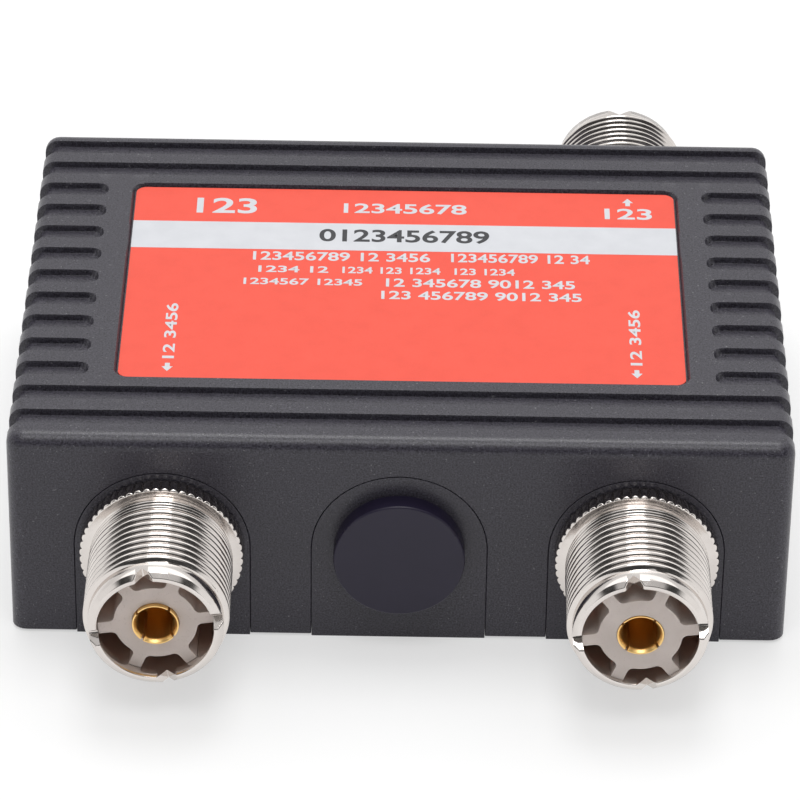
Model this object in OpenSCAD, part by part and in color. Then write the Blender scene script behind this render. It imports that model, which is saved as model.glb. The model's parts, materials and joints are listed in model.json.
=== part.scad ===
// Antenna duplexer: a ribbed die-cast case with two coaxial ports in front and one behind.
// The cover drops over a base plate, whose arched tongues fill the cover's wall slots and carry the ports.
// Millimetres. +X is right and -Y is the front, where the two ports are, and +Z is up.
// The origin lies under the middle of the case, on the surface that it stands on.

/* [Case] */
// Width over the side walls
case_w = 85.7; // [82:0.1:100]
// Depth over the front and rear walls
case_d = 65.3; // [62:0.1:80]
// Height from the underside to the top
case_h = 25.9; // [23.4:0.1:36]
// Thickness of the cover's side walls
wall_t = 2.2; // [1.6:0.1:2.6]
// Thickness of the cover's top
top_t = 2.4; // [1.8:0.1:2.6]
// Radius of the cover's upright corners
corner_r = 2.4; // [1.8:0.1:4]
// Radius along the cover's top edge
edge_r = 1.5; // [1:0.1:1.7]
// Height of the cover's lower edge above the underside
cover_lift = 0.3; // [0:0.1:1]
// Gap between the base and the cover all round
case_gap = 0.25; // [0.15:0.05:0.4]
// Thickness of the base plate
base_t = 2.5; // [2:0.1:3]
// Radius of the inner corners of the cover and of the base plate's corners
inner_r = 0.4; // [0.2:0.1:1.5]

/* [Ribs] */
// Number of grooves across the top
groove_count = 13; // [9:2:13]
// Grooves at each end that run the full width
full_grooves = 2; // [1:1:3]
// Distance from groove to groove
groove_pitch = 4.79; // [4:0.01:4.8]
// Width of a groove
groove_w = 2.5; // [1.6:0.1:3]
// Depth of a groove
groove_depth = 0.7; // [0.4:0.05:0.9]
// Distance from the label pocket to where the short grooves begin
slot_gap = 3.05; // [2:0.05:5]
// Shift of the grooves and the label pocket towards the rear
pattern_y = 0.4; // [0:0.1:0.6]

/* [Label] */
// Width of the label pocket
pocket_w = 63.4; // [50:0.1:64]
// Depth of the label pocket from front to rear
pocket_d = 41.2; // [30:0.1:42]
// How far the pocket is sunk
pocket_sink = 0.5; // [0.3:0.05:0.8]
// Corner radius of the pocket
pocket_r = 1.5; // [1:0.1:3]
// Thickness of the label
label_t = 0.2; // [0.1:0.05:0.3]
// Gap between the label and the pocket's rim
label_gap = 0.3; // [0.1:0.05:0.6]

/* [Port places] */
// Distance of the outer ports' axes from the case's sides
port_inset = 16.85; // [15:0.05:17.5]
// Height of the front ports and of the plug
front_port_z = 11.8; // [11.6:0.1:12.6]
// Distance of the rear port's axis below the top
rear_port_drop = 11.9; // [11.9:0.1:14]
// Half the width of a tongue, and the radius of its arch
tongue_r = 9.6; // [9.3:0.05:9.9]
// Thickness of a tongue
tongue_t = 2.8; // [2.4:0.1:3.4]
// Gap between a tongue and its slot in the cover
tongue_gap = 0.1; // [0.05:0.05:0.3]
// Turn of the front ports' notches and spokes, seen from outside
front_turn = 8; // [-20:1:20]
// Turn of the rear port's notches and spokes, seen from outside
rear_turn = 2; // [-20:1:20]

/* [Port shell] */
// How far a port stands out from the case
reach = 15.6; // [15:0.1:18]
// Radius of the knurled flange
flange_r = 9; // [8.6:0.05:9.2]
// Thickness of the knurled flange
flange_t = 2.1; // [1.8:0.1:2.6]
// Teeth round the knurl
knurl_teeth = 56; // [40:1:64]
// Depth of a knurl tooth
knurl_depth = 0.3; // [0.2:0.05:0.5]
// Radius over the thread's crests
thread_r = 7.9; // [7.7:0.05:8.1]
// Depth of the thread
thread_depth = 0.5; // [0.4:0.05:0.55]
// Distance from crest to crest
thread_pitch = 1.058; // [1:0.001:1.1]
// Width of the flat on a crest
crest_w = 0.42; // [0.15:0.01:0.45]
// Slope of the thread's flanks
flank_angle = 30; // [25:1:30]
// Number of full crests
thread_count = 9; // [6:1:9]
// Length of bare root between the last crest and the land
thread_relief = 0.2; // [0.1:0.01:0.6]
// Radius over the shallow thread next to the flange
runout_r = 7.85; // [7.7:0.05:7.9]
// Depth of the shallow thread next to the flange
runout_depth = 0.22; // [0.1:0.01:0.25]
// Radius of the plain land before the rim
land_r = 7.3; // [7:0.05:7.35]
// Length of the plain land
land_l = 1.5; // [1.2:0.05:1.6]
// Length of the slope from the land to the rim
cone_l = 0.6; // [0.5:0.05:1]
// Width of the flat rim
rim_w = 0.35; // [0.3:0.05:0.6]
// Radius of the socket's bore
bore_r = 6.3; // [6.2:0.05:6.5]
// Width of a notch in the rim
notch_w = 2.1; // [1.6:0.1:2.6]
// Depth of a notch in the rim
notch_depth = 1.3; // [0.8:0.05:1.4]
// Radius of the shank through the tongue
shank_r = 6.3; // [6:0.05:6.4]
// Length of the shank behind the tongue
shank_l = 5.4; // [4.6:0.1:6]
// Gap round the shank and the plug in the tongue's hole
hole_gap = 0.15; // [0.1:0.05:0.3]

/* [Port insides] */
// Radius of the insulator's hub
hub_r = 4.5; // [3.8:0.05:4.7]
// Width of a spoke
spoke_w = 1.4; // [0.8:0.05:1.6]
// Radius of the fillets between the spokes and the hub
spoke_fillet = 0.7; // [0.4:0.05:0.8]
// Number of spokes
spoke_count = 6; // [4:1:8]
// Depth of the pockets between the spokes
spoke_l = 7; // [5:0.1:8]
// Thickness of the insulator's rear disc
disc_t = 3; // [2:0.1:3.5]
// Radius of the insulator's tail in the shank
tail_r = 4.4; // [4:0.05:4.8]
// How far the hub lies behind the rim in the left port
left_hub_set = 1.4; // [0.2:0.05:1.6]
// How far the hub lies behind the rim in the right and rear ports
hub_set = 0.5; // [0.2:0.05:1.6]
// Radius of the contact
contact_r = 2.52; // [2.45:0.01:2.75]
// Radius of the contact's bore
pin_bore_r = 2; // [1.9:0.01:2.1]
// Length of the contact's bore behind its mouth
pin_bore_l = 12; // [10:0.1:13]
// Radius of the contact's flared mouth
mouth_r = 2.38; // [2.15:0.01:2.42]
// Length of the contact's flared mouth
mouth_l = 0.6; // [0.4:0.1:1.2]
// Width of a slot in the contact
slot_w = 0.3; // [0.2:0.05:0.6]
// Length of a slot in the contact
slot_l = 5; // [4:0.1:6]
// How far the left contact stands out of its hub
left_contact_out = 0.5; // [0:0.05:1]
// How far the right and rear contacts stand out of their hubs
contact_out = 0.1; // [0:0.05:1]
// Radius of the contact's solder cup
cup_r = 1.4; // [1.2:0.05:1.8]
// Length of the solder cup behind the insulator
cup_l = 3; // [2.5:0.1:3.5]
// Depth of the solder cup's hole
cup_bore_l = 2.4; // [1.8:0.1:2.4]
// Gap between the port's inner pieces
port_gap = 0.04; // [0.02:0.01:0.06]

/* [Port fixings] */
// Thickness of the lock washer
washer_t = 0.8; // [0.5:0.1:1]
// Radius of the lock washer over its teeth
washer_r = 8.4; // [8:0.1:8.8]
// Teeth round the lock washer
washer_teeth = 14; // [10:1:18]
// Distance across the nut's flats
nut_af = 16; // [15:0.1:16.4]
// Thickness of the nut
nut_t = 2.6; // [2:0.1:3]

/* [Blanking plug] */
// Radius of the plug's head
plug_r = 7.2; // [7:0.05:8.5]
// How far the plug's head stands out
plug_out = 2.2; // [1.4:0.1:3]
// Radius of the head's rounded edge
plug_edge_r = 0.25; // [0.15:0.05:0.8]
// Wall of the plug's hollow shank
plug_wall = 1.1; // [0.8:0.1:1.4]
// How far the barbs stand out from the shank
barb_out = 0.5; // [0.3:0.05:0.7]
// Length of the barbs behind the tongue
barb_l = 2; // [1.5:0.1:2.5]
// Width of the slits between the barbs
slit_w = 2; // [1:0.1:3]

/* [Cover screws] */
// Radius of the screws
screw_r = 1.5; // [1.25:0.05:1.6]
// Radius of the countersunk heads
screw_head_r = 2.8; // [2.6:0.05:2.9]
// Length of the screws
screw_l = 9; // [7:0.1:12]
// Depth of the heads below the underside
screw_sink = 0.1; // [0.05:0.05:0.3]
// Radius of the bosses in the cover
boss_r = 2.8; // [2.6:0.1:3]
// Gap round the screws
screw_gap = 0.1; // [0.05:0.05:0.2]
// Free depth of a screw's hole past its end
screw_room = 1; // [0.5:0.1:2]
// Gap between a boss and the tongues
boss_gap = 0.4; // [0.3:0.1:1]

/* [Circuit board] */
// Distance of the board's sides from the case's sides
board_side = 9.85; // [7:0.05:11]
// Distance of the board's front and rear edges from the case's front and rear
board_end = 14.15; // [13.6:0.05:15.5]
// Thickness of the board
board_t = 1.6; // [1:0.1:2]
// Height of the posts that carry the board
post_h = 3.5; // [2.5:0.1:5]
// Radius of the posts
post_r = 2.6; // [2.2:0.1:3]
// Distance of the posts from the board's edges
post_inset = 3; // [2.8:0.1:3.6]
// Radius of the board screws
board_screw_r = 1.25; // [1:0.05:1.3]
// Radius of the board screws' heads
board_head_r = 2.2; // [2:0.05:2.5]
// Height of the board screws' heads
board_head_t = 1.4; // [1:0.1:2]
// Length of the board screws below the board
board_screw_l = 3; // [2:0.1:3.5]
// Thickness of the shield wall
shield_t = 0.5; // [0.3:0.1:1]
// Height of the shield wall
shield_h = 9; // [6:0.1:10]
// Distance of the shield wall from the board's edges
shield_inset = 2; // [1:0.1:4]
// Radius of the port leads
lead_r = 0.45; // [0.3:0.05:0.6]
// Gap between a lead and its solder cup
lead_gap = 0.1; // [0.05:0.05:0.2]
// How far the leads reach in over the board
lead_in = 2.5; // [2:0.1:3.5]

/* [Filters] */
// Radius of the coil wire
wire_r = 0.5; // [0.4:0.05:0.55]
// Distance from turn to turn
coil_pitch = 1.7; // [1.6:0.05:1.8]
// Radius of the low-pass coils at the wire's middle
low_coil_r = 3.4; // [2.8:0.1:3.6]
// Whole turns of a low-pass coil
low_turns = 6; // [3:1:7]
// Radius of the high-pass coils at the wire's middle
high_coil_r = 2.4; // [2:0.1:3]
// Whole turns of a high-pass coil
high_turns = 3; // [2:1:5]
// Height of the coils above the board
coil_lift = 0.6; // [0.3:0.1:1]
// Radius of a capacitor
cap_r = 2.6; // [2:0.1:3]
// Thickness of a capacitor
cap_t = 1.8; // [1.2:0.1:2.4]
// Height of a capacitor's legs
cap_leg = 1.4; // [1:0.1:2]
// Radius of a capacitor's legs
cap_leg_r = 0.3; // [0.25:0.05:0.4]
// Gap between two capacitors of a row
cap_gap = 1; // [0.6:0.1:2]

/* [Hidden] */
$fn = 64;

// Extra length of a cut past the face that it opens
cut = 1;
case_colour = [0.13, 0.13, 0.14];
nickel = [0.78, 0.76, 0.73];
gilt = [0.83, 0.64, 0.28];

// Case
front_y = -case_d / 2;
rear_y = case_d / 2;
ceiling_z = case_h - top_t;
port_x = case_w / 2 - port_inset;
rear_port_z = case_h - rear_port_drop;
slot_start = pocket_w / 2 + slot_gap;
base_w = case_w - 2 * (wall_t + case_gap);
base_d = case_d - 2 * (wall_t + case_gap);
slot_r = tongue_r + tongue_gap;
hole_r = shank_r + hole_gap;
first_groove_y = pattern_y - groove_pitch * (groove_count - 1) / 2;

// Cover screws, halfway between the tongues
boss_x = port_x / 2;
boss_y = case_d / 2 - tongue_t - boss_gap - boss_r;
screw_places = [for (sx = [-1, 1], sy = [-1, 1]) [sx * boss_x, sy * boss_y]];

// Port, along its own axis, from the tongue's outer face outwards
flank_w = thread_depth * tan(flank_angle);
root_r = thread_r - thread_depth;
rim_r = bore_r + rim_w;
land_low = reach - cone_l - land_l;
last_crest = land_low - flank_w - crest_w / 2 - thread_relief;
first_crest = last_crest - (thread_count - 1) * thread_pitch;
runout_pitch = thread_pitch / 2;
runout_end = first_crest - crest_w / 2 - flank_w;
runout_root_r = runout_r - runout_depth;
runout_count = max(0, floor((runout_end - flange_t) / runout_pitch));
shank_end = -tongue_t - shank_l;
tail_bore_r = tail_r + port_gap;
nut_low = -tongue_t - washer_t - nut_t;
cup_end = shank_end - cup_l;
cup_bore_r = lead_r + lead_gap;
mouth_flare = (mouth_r - pin_bore_r) / mouth_l;

// Board
board_w = case_w - 2 * board_side;
board_d = case_d - 2 * board_end;
board_z = base_t + post_h;
board_top = board_z + board_t;
post_x = board_w / 2 - post_inset;
post_y = board_d / 2 - post_inset;
post_places = [for (sx = [-1, 1], sy = [-1, 1]) [sx * post_x, sy * post_y]];
lead_y = board_d / 2 - lead_in;
cup_depth_y = case_d / 2 + cup_end;

// Filters: each half of the board has two coils and two capacitors between them
half_mid_x = (board_w / 2 - 2 * post_inset) / 2 + shield_t;
coil_y = board_d / 4;
low_coil_z = board_top + coil_lift + wire_r + low_coil_r;
high_coil_z = board_top + coil_lift + wire_r + high_coil_r;
cap_z = board_top + cap_leg + cap_r;
cap_step = 2 * cap_r + cap_gap;
ring_steps = 24;
ring_sides = 6;
arc_steps = 6;

// Flat outline of a rectangle with round corners
module rounded_plan(w, d, r) {
    square([w - 2 * r, d], center = true);
    square([w, d - 2 * r], center = true);
    for (sx = [-1, 1], sy = [-1, 1])
        translate([sx * (w / 2 - r), sy * (d / 2 - r)]) circle(r);
}

// Upright outline from low to high, with its two top corners rounded
module arched_face(span, low, high, r) {
    translate([-span / 2, low]) square([span, high - r - low]);
    translate([-span / 2 + r, low]) square([span - 2 * r, high - low]);
    for (sx = [-1, 1])
        translate([sx * (span / 2 - r), high - r]) circle(r);
}

// Lays an outline of Y and Z along X, over the given length
module along_x(length) {
    translate([-length / 2, 0, 0]) rotate([90, 0, 90]) linear_extrude(length) children();
}

// Lays an outline of X and Z along Y, over the given length
module along_y(length) {
    translate([0, length / 2, 0]) rotate([90, 0, 0]) linear_extrude(length) children();
}

// Half section of a round corner post with a rounded top edge
module corner_section() {
    intersection() {
        union() {
            translate([0, cover_lift]) square([corner_r, case_h - edge_r - cover_lift]);
            translate([0, cover_lift]) square([corner_r - edge_r, case_h - cover_lift]);
            translate([corner_r - edge_r, case_h - edge_r]) circle(edge_r);
        }
        translate([0, cover_lift]) square([corner_r, case_h - cover_lift]);
    }
}

// Solid block of the cover, with round corners and a rounded top edge
module cover_block() {
    along_x(case_w - 2 * corner_r) arched_face(case_d, cover_lift, case_h, edge_r);
    along_y(case_d - 2 * corner_r) arched_face(case_w, cover_lift, case_h, edge_r);
    for (sx = [-1, 1], sy = [-1, 1])
        translate([sx * (case_w / 2 - corner_r), sy * (case_d / 2 - corner_r), 0])
            rotate_extrude() corner_section();
}

// Plan of one groove: the outer ones cross the whole cover, the others stop short of the label
module groove_plan(full) {
    side_l = case_w / 2 + cut - slot_start - groove_w / 2;
    if (full)
        square([case_w + 2 * cut, groove_w], center = true);
    else
        for (sx = [-1, 1]) {
            translate([sx * (slot_start + groove_w / 2 + side_l / 2), 0])
                square([side_l, groove_w], center = true);
            translate([sx * (slot_start + groove_w / 2), 0]) circle(groove_w / 2);
        }
}

// Grooves of even depth over the top and down both sides
module grooves() {
    difference() {
        translate([0, 0, cover_lift - cut]) linear_extrude(case_h - cover_lift + 2 * cut)
            for (k = [0:groove_count - 1])
                translate([0, first_groove_y + k * groove_pitch])
                    groove_plan(k < full_grooves || k >= groove_count - full_grooves);
        along_y(case_d + 2 * cut)
            arched_face(case_w - 2 * groove_depth, cover_lift - 2 * cut, case_h - groove_depth, edge_r);
    }
}

// Arch with straight sides down to low, laid along Y from y0
module arch_along_y(x, y0, length, axis_z, r, low) {
    translate([x - r, y0, low]) cube([2 * r, length, axis_z - low]);
    translate([x, y0 + length, axis_z]) rotate([90, 0, 0]) cylinder(h = length, r = r);
}

// Slots of the cover's walls, open below and deep enough for the tongues
module wall_slots() {
    deep = max(wall_t, tongue_t) + case_gap + cut;
    for (x = [-port_x, 0, port_x])
        arch_along_y(x, front_y - cut, deep, front_port_z, slot_r, cover_lift - cut);
    arch_along_y(port_x, rear_y + cut - deep, deep, rear_port_z, slot_r, cover_lift - cut);
}

// Ribbed shell of the case, open below
module top_cover() {
    hole_l = screw_sink + screw_l + screw_room - base_t;
    color(case_colour)
    difference() {
        union() {
            difference() {
                cover_block();
                translate([0, 0, cover_lift - cut]) linear_extrude(ceiling_z - cover_lift + cut)
                    rounded_plan(case_w - 2 * wall_t, case_d - 2 * wall_t, inner_r);
            }
            for (p = screw_places)
                translate([p[0], p[1], base_t]) cylinder(h = ceiling_z - base_t + top_t / 4, r = boss_r);
        }
        wall_slots();
        grooves();
        translate([0, pattern_y, case_h - pocket_sink]) linear_extrude(pocket_sink + cut)
            rounded_plan(pocket_w, pocket_d, pocket_r);
        for (p = screw_places)
            translate([p[0], p[1], base_t - cut]) cylinder(h = hole_l + cut, r = screw_r + screw_gap);
    }
}

// Countersunk screw standing head down, grown all round by gap
module countersunk(gap) {
    head_l = screw_head_r - screw_r;
    cylinder(h = head_l, r1 = screw_head_r + gap, r2 = screw_r + gap);
    cylinder(h = screw_l, r = screw_r + gap);
}

// Plate under the cover, with the tongues that carry the ports and the posts that carry the board
module base_plate() {
    color(case_colour)
    difference() {
        union() {
            linear_extrude(base_t) rounded_plan(base_w, base_d, inner_r);
            for (x = [-port_x, 0, port_x])
                arch_along_y(x, front_y, tongue_t, front_port_z, tongue_r, 0);
            arch_along_y(port_x, rear_y - tongue_t, tongue_t, rear_port_z, tongue_r, 0);
            for (p = post_places)
                translate([p[0], p[1], 0]) cylinder(h = board_z, r = post_r);
        }
        for (x = [-port_x, 0, port_x])
            translate([x, front_y - cut, front_port_z]) rotate([-90, 0, 0])
                cylinder(h = tongue_t + 2 * cut, r = hole_r);
        translate([port_x, rear_y + cut, rear_port_z]) rotate([90, 0, 0])
            cylinder(h = tongue_t + 2 * cut, r = hole_r);
        for (p = screw_places)
            translate([p[0], p[1], 0]) {
                translate([0, 0, screw_sink]) countersunk(screw_gap);
                translate([0, 0, -cut]) cylinder(h = screw_sink + cut, r = screw_head_r + screw_gap);
            }
        for (p = post_places)
            translate([p[0], p[1], board_z - board_screw_l - screw_gap])
                cylinder(h = board_screw_l + screw_gap + cut, r = board_screw_r + screw_gap);
    }
}

// Printed label on the floor of the cover's pocket
module label() {
    color([0.85, 0.2, 0.17])
    translate([0, pattern_y, case_h - pocket_sink]) linear_extrude(label_t)
        rounded_plan(pocket_w - 2 * label_gap, pocket_d - 2 * label_gap, pocket_r - label_gap);
}

// Screws that hold the cover down, put in from below
module cover_screws() {
    color("dimgray")
    for (p = screw_places)
        translate([p[0], p[1], screw_sink]) countersunk(0);
}

// Places a piece of a front port or of the plug: its own +Z points out of the case
module at_front(x) {
    translate([x, front_y, front_port_z]) rotate([90, 0, 0]) children();
}

// Places a piece of the rear port: its own +Z points out of the case
module at_rear() {
    translate([port_x, rear_y, rear_port_z]) rotate([90, 0, 180]) children();
}

// Half section of the plug's head, with a rounded outer edge
module plug_head_section() {
    square([plug_r - plug_edge_r, plug_out]);
    square([plug_r, plug_out - plug_edge_r]);
    translate([plug_r - plug_edge_r, plug_out - plug_edge_r]) circle(plug_edge_r);
}

// Hole plug with a round head and a slit shank, whose barbs catch behind the tongue
module blanking_plug() {
    barb_top = -tongue_t - hole_gap;
    barb_end = barb_top - barb_l;
    color([0.09, 0.09, 0.11])
    at_front(0) {
        rotate_extrude() plug_head_section();
        difference() {
            rotate_extrude() polygon([
                [shank_r - plug_wall, plug_out / 2],
                [shank_r, plug_out / 2],
                [shank_r, barb_top],
                [shank_r + barb_out, barb_top],
                [shank_r, barb_end],
                [shank_r - plug_wall, barb_end]
            ]);
            for (a = [0, 90])
                rotate([0, 0, a]) translate([-plug_r, -slit_w / 2, barb_end - cut])
                    cube([2 * plug_r, slit_w, cut - barb_end]);
        }
    }
}

// Outline of the knurl: one point per root and one per tooth
module knurl_plan() {
    polygon([for (k = [0:2 * knurl_teeth - 1])
        let (r = flange_r - (k % 2) * knurl_depth, a = k * 180 / knurl_teeth)
        [r * cos(a), r * sin(a)]]);
}

// Points of one thread ridge, from its outer foot to its inner foot
function ridge(middle, foot_r, height, crest) = [
    [foot_r, middle + crest / 2 + height * tan(flank_angle)],
    [foot_r + height, middle + crest / 2],
    [foot_r + height, middle - crest / 2],
    [foot_r, middle - crest / 2 - height * tan(flank_angle)]
];

// Half section of the shell: bore, rim, land, thread, run-out and shank
function shell_section() = concat(
    [[tail_bore_r, shank_end], [tail_bore_r, socket_floor()], [bore_r, socket_floor()], [bore_r, reach]],
    [[rim_r, reach], [land_r, reach - cone_l], [land_r, land_low], [root_r, land_low - flank_w / 2]],
    [for (k = [0:thread_count - 1])
        each ridge(last_crest - k * thread_pitch, root_r, thread_depth, crest_w)],
    [[runout_root_r, runout_end]],
    [for (k = [1:1:runout_count])
        each ridge(runout_end - (k - 0.5) * runout_pitch, runout_root_r, runout_depth, runout_depth / 2)],
    [[runout_root_r, flange_t / 2], [shank_r, flange_t / 2], [shank_r, shank_end]]
);

// Height of the socket's floor, on which the insulator's disc rests
function socket_floor() = reach - left_hub_set - spoke_l - disc_t;

// Shell of a port: knurled flange, threaded barrel with a notched rim, and shank
module port_shell(turn) {
    color(nickel)
    difference() {
        union() {
            rotate_extrude() polygon(shell_section());
            linear_extrude(flange_t) difference() {
                knurl_plan();
                circle((bore_r + root_r) / 2);
            }
            linear_extrude(flange_t / 2) difference() {
                circle(flange_r - 2 * knurl_depth);
                circle((tail_bore_r + shank_r) / 2);
            }
        }
        for (a = [0:90:270])
            rotate([0, 0, a + turn]) translate([bore_r - cut, 0, reach]) rotate([90, 0, 90])
                linear_extrude(thread_r - bore_r + 2 * cut)
                    polygon([[-notch_w, notch_depth], [notch_w, notch_depth], [0, -notch_depth]]);
    }
}

// Point at a distance and an angle from the middle
function polar(r, a) = r * [cos(a), sin(a)];

// Outline of the pocket after the first spoke: out along the spoke, rounded at the hub, and open outwards
function spoke_pocket() =
    let (
        step = 360 / spoke_count,
        low = asin((spoke_w / 2 + spoke_fillet) / (hub_r + spoke_fillet)),
        middle = polar(hub_r + spoke_fillet, low),
        near = concat(
            [[2 * bore_r, spoke_w / 2]],
            [for (k = [0:arc_steps]) middle + polar(spoke_fillet, -90 - (90 - low) * k / arc_steps)]
        ),
        hub = [for (k = [1:arc_steps - 1]) polar(hub_r, low + (step - 2 * low) * k / arc_steps)]
    )
    concat(near, hub, [for (k = [len(near) - 1:-1:0])
        [near[k][0] * cos(step) + near[k][1] * sin(step), near[k][0] * sin(step) - near[k][1] * cos(step)]]);

// Insulator of a port: a hub on spokes in front of a disc, and a tail through the shank
module port_insulator(turn, hub_back) {
    disc_top = socket_floor() + disc_t;
    outer_r = bore_r - port_gap;
    color([0.62, 0.6, 0.59])
    difference() {
        union() {
            translate([0, 0, shank_end]) cylinder(h = socket_floor() - shank_end + disc_t / 2, r = tail_r);
            translate([0, 0, socket_floor()]) cylinder(h = reach - hub_back - socket_floor(), r = outer_r);
        }
        for (k = [0:spoke_count - 1])
            rotate([0, 0, k * 360 / spoke_count + turn]) translate([0, 0, disc_top])
                linear_extrude(reach - disc_top + cut) polygon(spoke_pocket());
        translate([0, 0, shank_end - cut])
            cylinder(h = reach - shank_end + 2 * cut, r = contact_r + port_gap);
    }
}

// Contact of a port: a split socket in front and a solder cup behind
module port_contact(turn, tip) {
    color(gilt)
    difference() {
        union() {
            translate([0, 0, shank_end]) cylinder(h = tip - shank_end, r = contact_r);
            translate([0, 0, cup_end]) cylinder(h = cup_l + cut, r = cup_r);
        }
        translate([0, 0, tip - mouth_l - pin_bore_l]) cylinder(h = pin_bore_l + cut, r = pin_bore_r);
        translate([0, 0, tip - mouth_l])
            cylinder(h = mouth_l + cut, r1 = pin_bore_r, r2 = pin_bore_r + mouth_flare * (mouth_l + cut));
        translate([0, 0, cup_end - cut]) cylinder(h = cup_bore_l + cut, r = cup_bore_r);
        for (a = [45, 135])
            rotate([0, 0, a + turn]) translate([-2 * contact_r, -slot_w / 2, tip - slot_l])
                cube([4 * contact_r, slot_w, slot_l + cut]);
    }
}

// Toothed lock washer behind the tongue
module port_washer() {
    tooth_w = washer_r * sin(180 / washer_teeth);
    color("silver")
    translate([0, 0, -tongue_t - washer_t]) linear_extrude(washer_t)
        difference() {
            union() {
                circle((washer_r + hole_r) / 2);
                for (k = [0:washer_teeth - 1])
                    rotate(k * 360 / washer_teeth) translate([0, -tooth_w / 2])
                        square([washer_r, tooth_w]);
            }
            circle(hole_r);
        }
}

// Hex nut that clamps the port
module port_nut() {
    color(nickel)
    translate([0, 0, nut_low]) difference() {
        cylinder(h = nut_t, r = nut_af / 2 / cos(30), $fn = 6);
        translate([0, 0, -cut]) cylinder(h = nut_t + 2 * cut, r = hole_r);
    }
}

// Lead from a solder cup inwards and down to the board; side is -1 in front and 1 behind
module port_lead(x, side, axis_z) {
    start = cup_depth_y + cup_bore_l - lead_gap;
    color("peru")
    translate([x, side * lead_y, 0]) {
        translate([0, 0, axis_z]) rotate([-90 * side, 0, 0]) cylinder(h = start - lead_y, r = lead_r);
        translate([0, 0, axis_z]) sphere(lead_r);
        translate([0, 0, board_top]) cylinder(h = axis_z - board_top, r = lead_r);
    }
}

// Board that carries the two filters
module circuit_board() {
    color("darkgreen")
    difference() {
        translate([0, 0, board_z]) linear_extrude(board_t) square([board_w, board_d], center = true);
        for (p = post_places)
            translate([p[0], p[1], board_z - cut])
                cylinder(h = board_t + 2 * cut, r = board_screw_r + screw_gap);
    }
}

// Round-headed screws that hold the board on its posts
module board_screws() {
    color("silver")
    for (p = post_places)
        translate([p[0], p[1], board_top]) {
            cylinder(h = board_head_t, r = board_head_r);
            translate([0, 0, -board_t - board_screw_l])
                cylinder(h = board_t + board_screw_l + board_head_t / 2, r = board_screw_r);
        }
}

// Wall that screens the low-pass half from the high-pass half
module shield_wall() {
    shield_d = board_d - 2 * shield_inset;
    color("silver")
    translate([-shield_t / 2, -shield_d / 2, board_top]) cube([shield_t, shield_d, shield_h]);
}

// Middle line of a coil along X: up one leg, half a turn more than whole turns, and down the other leg
function coil_line(r, turns, axis_z) =
    let (steps = ring_steps * turns + ring_steps / 2, run = coil_pitch * (turns + 0.5))
    concat(
        [[-run / 2, r, board_top]],
        [for (k = [0:steps])
            let (a = 360 * k / ring_steps)
            [-run / 2 + coil_pitch * k / ring_steps, r * cos(a), axis_z + r * sin(a)]],
        [[run / 2, -r, board_top]]
    );

// Direction of a line at one of its points
function heading(line, k) =
    let (d = line[min(k + 1, len(line) - 1)] - line[max(k - 1, 0)])
    d / norm(d);

// Ring of points round a line; X is never along the line, so it sets the ring's start
function ring(line, k) =
    let (t = heading(line, k), u = cross(t, [1, 0, 0]), un = u / norm(u), v = cross(t, un))
    [for (s = [0:ring_sides - 1])
        let (a = 360 * s / ring_sides)
        line[k] + wire_r * (un * cos(a) + v * sin(a))];

// One unbroken tube along a line
module wire_tube(line) {
    rings = len(line);
    points = [for (k = [0:rings - 1]) each ring(line, k)];
    sides = [for (k = [0:rings - 2], s = [0:ring_sides - 1])
        let (a = k * ring_sides + s, b = k * ring_sides + (s + 1) % ring_sides)
        each [[a, a + ring_sides, b], [b, a + ring_sides, b + ring_sides]]];
    near_end = [for (s = [1:ring_sides - 2]) [0, s, s + 1]];
    last = (rings - 1) * ring_sides;
    far_end = [for (s = [1:ring_sides - 2]) [last, last + s + 1, last + s]];
    polyhedron(points = points, faces = concat(sides, near_end, far_end));
}

// Least gap between a wire and itself, from points at least half a turn apart
function self_gap(line) = min([for (i = [0:len(line) - 1], j = [i + ring_steps / 2:1:len(line) - 1])
    norm(line[i] - line[j])]) - 2 * wire_r;
echo(low_coil_gap = self_gap(coil_line(low_coil_r, low_turns, low_coil_z)));
echo(high_coil_gap = self_gap(coil_line(high_coil_r, high_turns, high_coil_z)));

// Air-wound coils of the low-pass half
module low_pass_coils() {
    color("peru")
    for (side = [-1, 1])
        translate([-half_mid_x, side * coil_y, 0]) wire_tube(coil_line(low_coil_r, low_turns, low_coil_z));
}

// Air-wound coils of the high-pass half
module high_pass_coils() {
    color("peru")
    for (side = [-1, 1])
        translate([half_mid_x, side * coil_y, 0]) wire_tube(coil_line(high_coil_r, high_turns, high_coil_z));
}

// Disc capacitor on two legs, standing across X
module capacitor() {
    translate([-cap_t / 2, 0, cap_z]) rotate([0, 90, 0]) cylinder(h = cap_t, r = cap_r);
    for (side = [-1, 1])
        translate([0, side * cap_r / 2, board_top]) cylinder(h = cap_leg + cap_r, r = cap_leg_r);
}

// Capacitors of the low-pass half, in the row between its coils
module low_pass_capacitors() {
    color("chocolate")
    for (side = [-1, 1])
        translate([-half_mid_x + side * cap_step / 2, 0, 0]) capacitor();
}

// Capacitors of the high-pass half, in the row between its coils
module high_pass_capacitors() {
    color("chocolate")
    for (side = [-1, 1])
        translate([half_mid_x + side * cap_step / 2, 0, 0]) capacitor();
}

// Tip of a contact, along its port's axis
left_tip = reach - left_hub_set + left_contact_out;
other_tip = reach - hub_set + contact_out;

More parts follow.
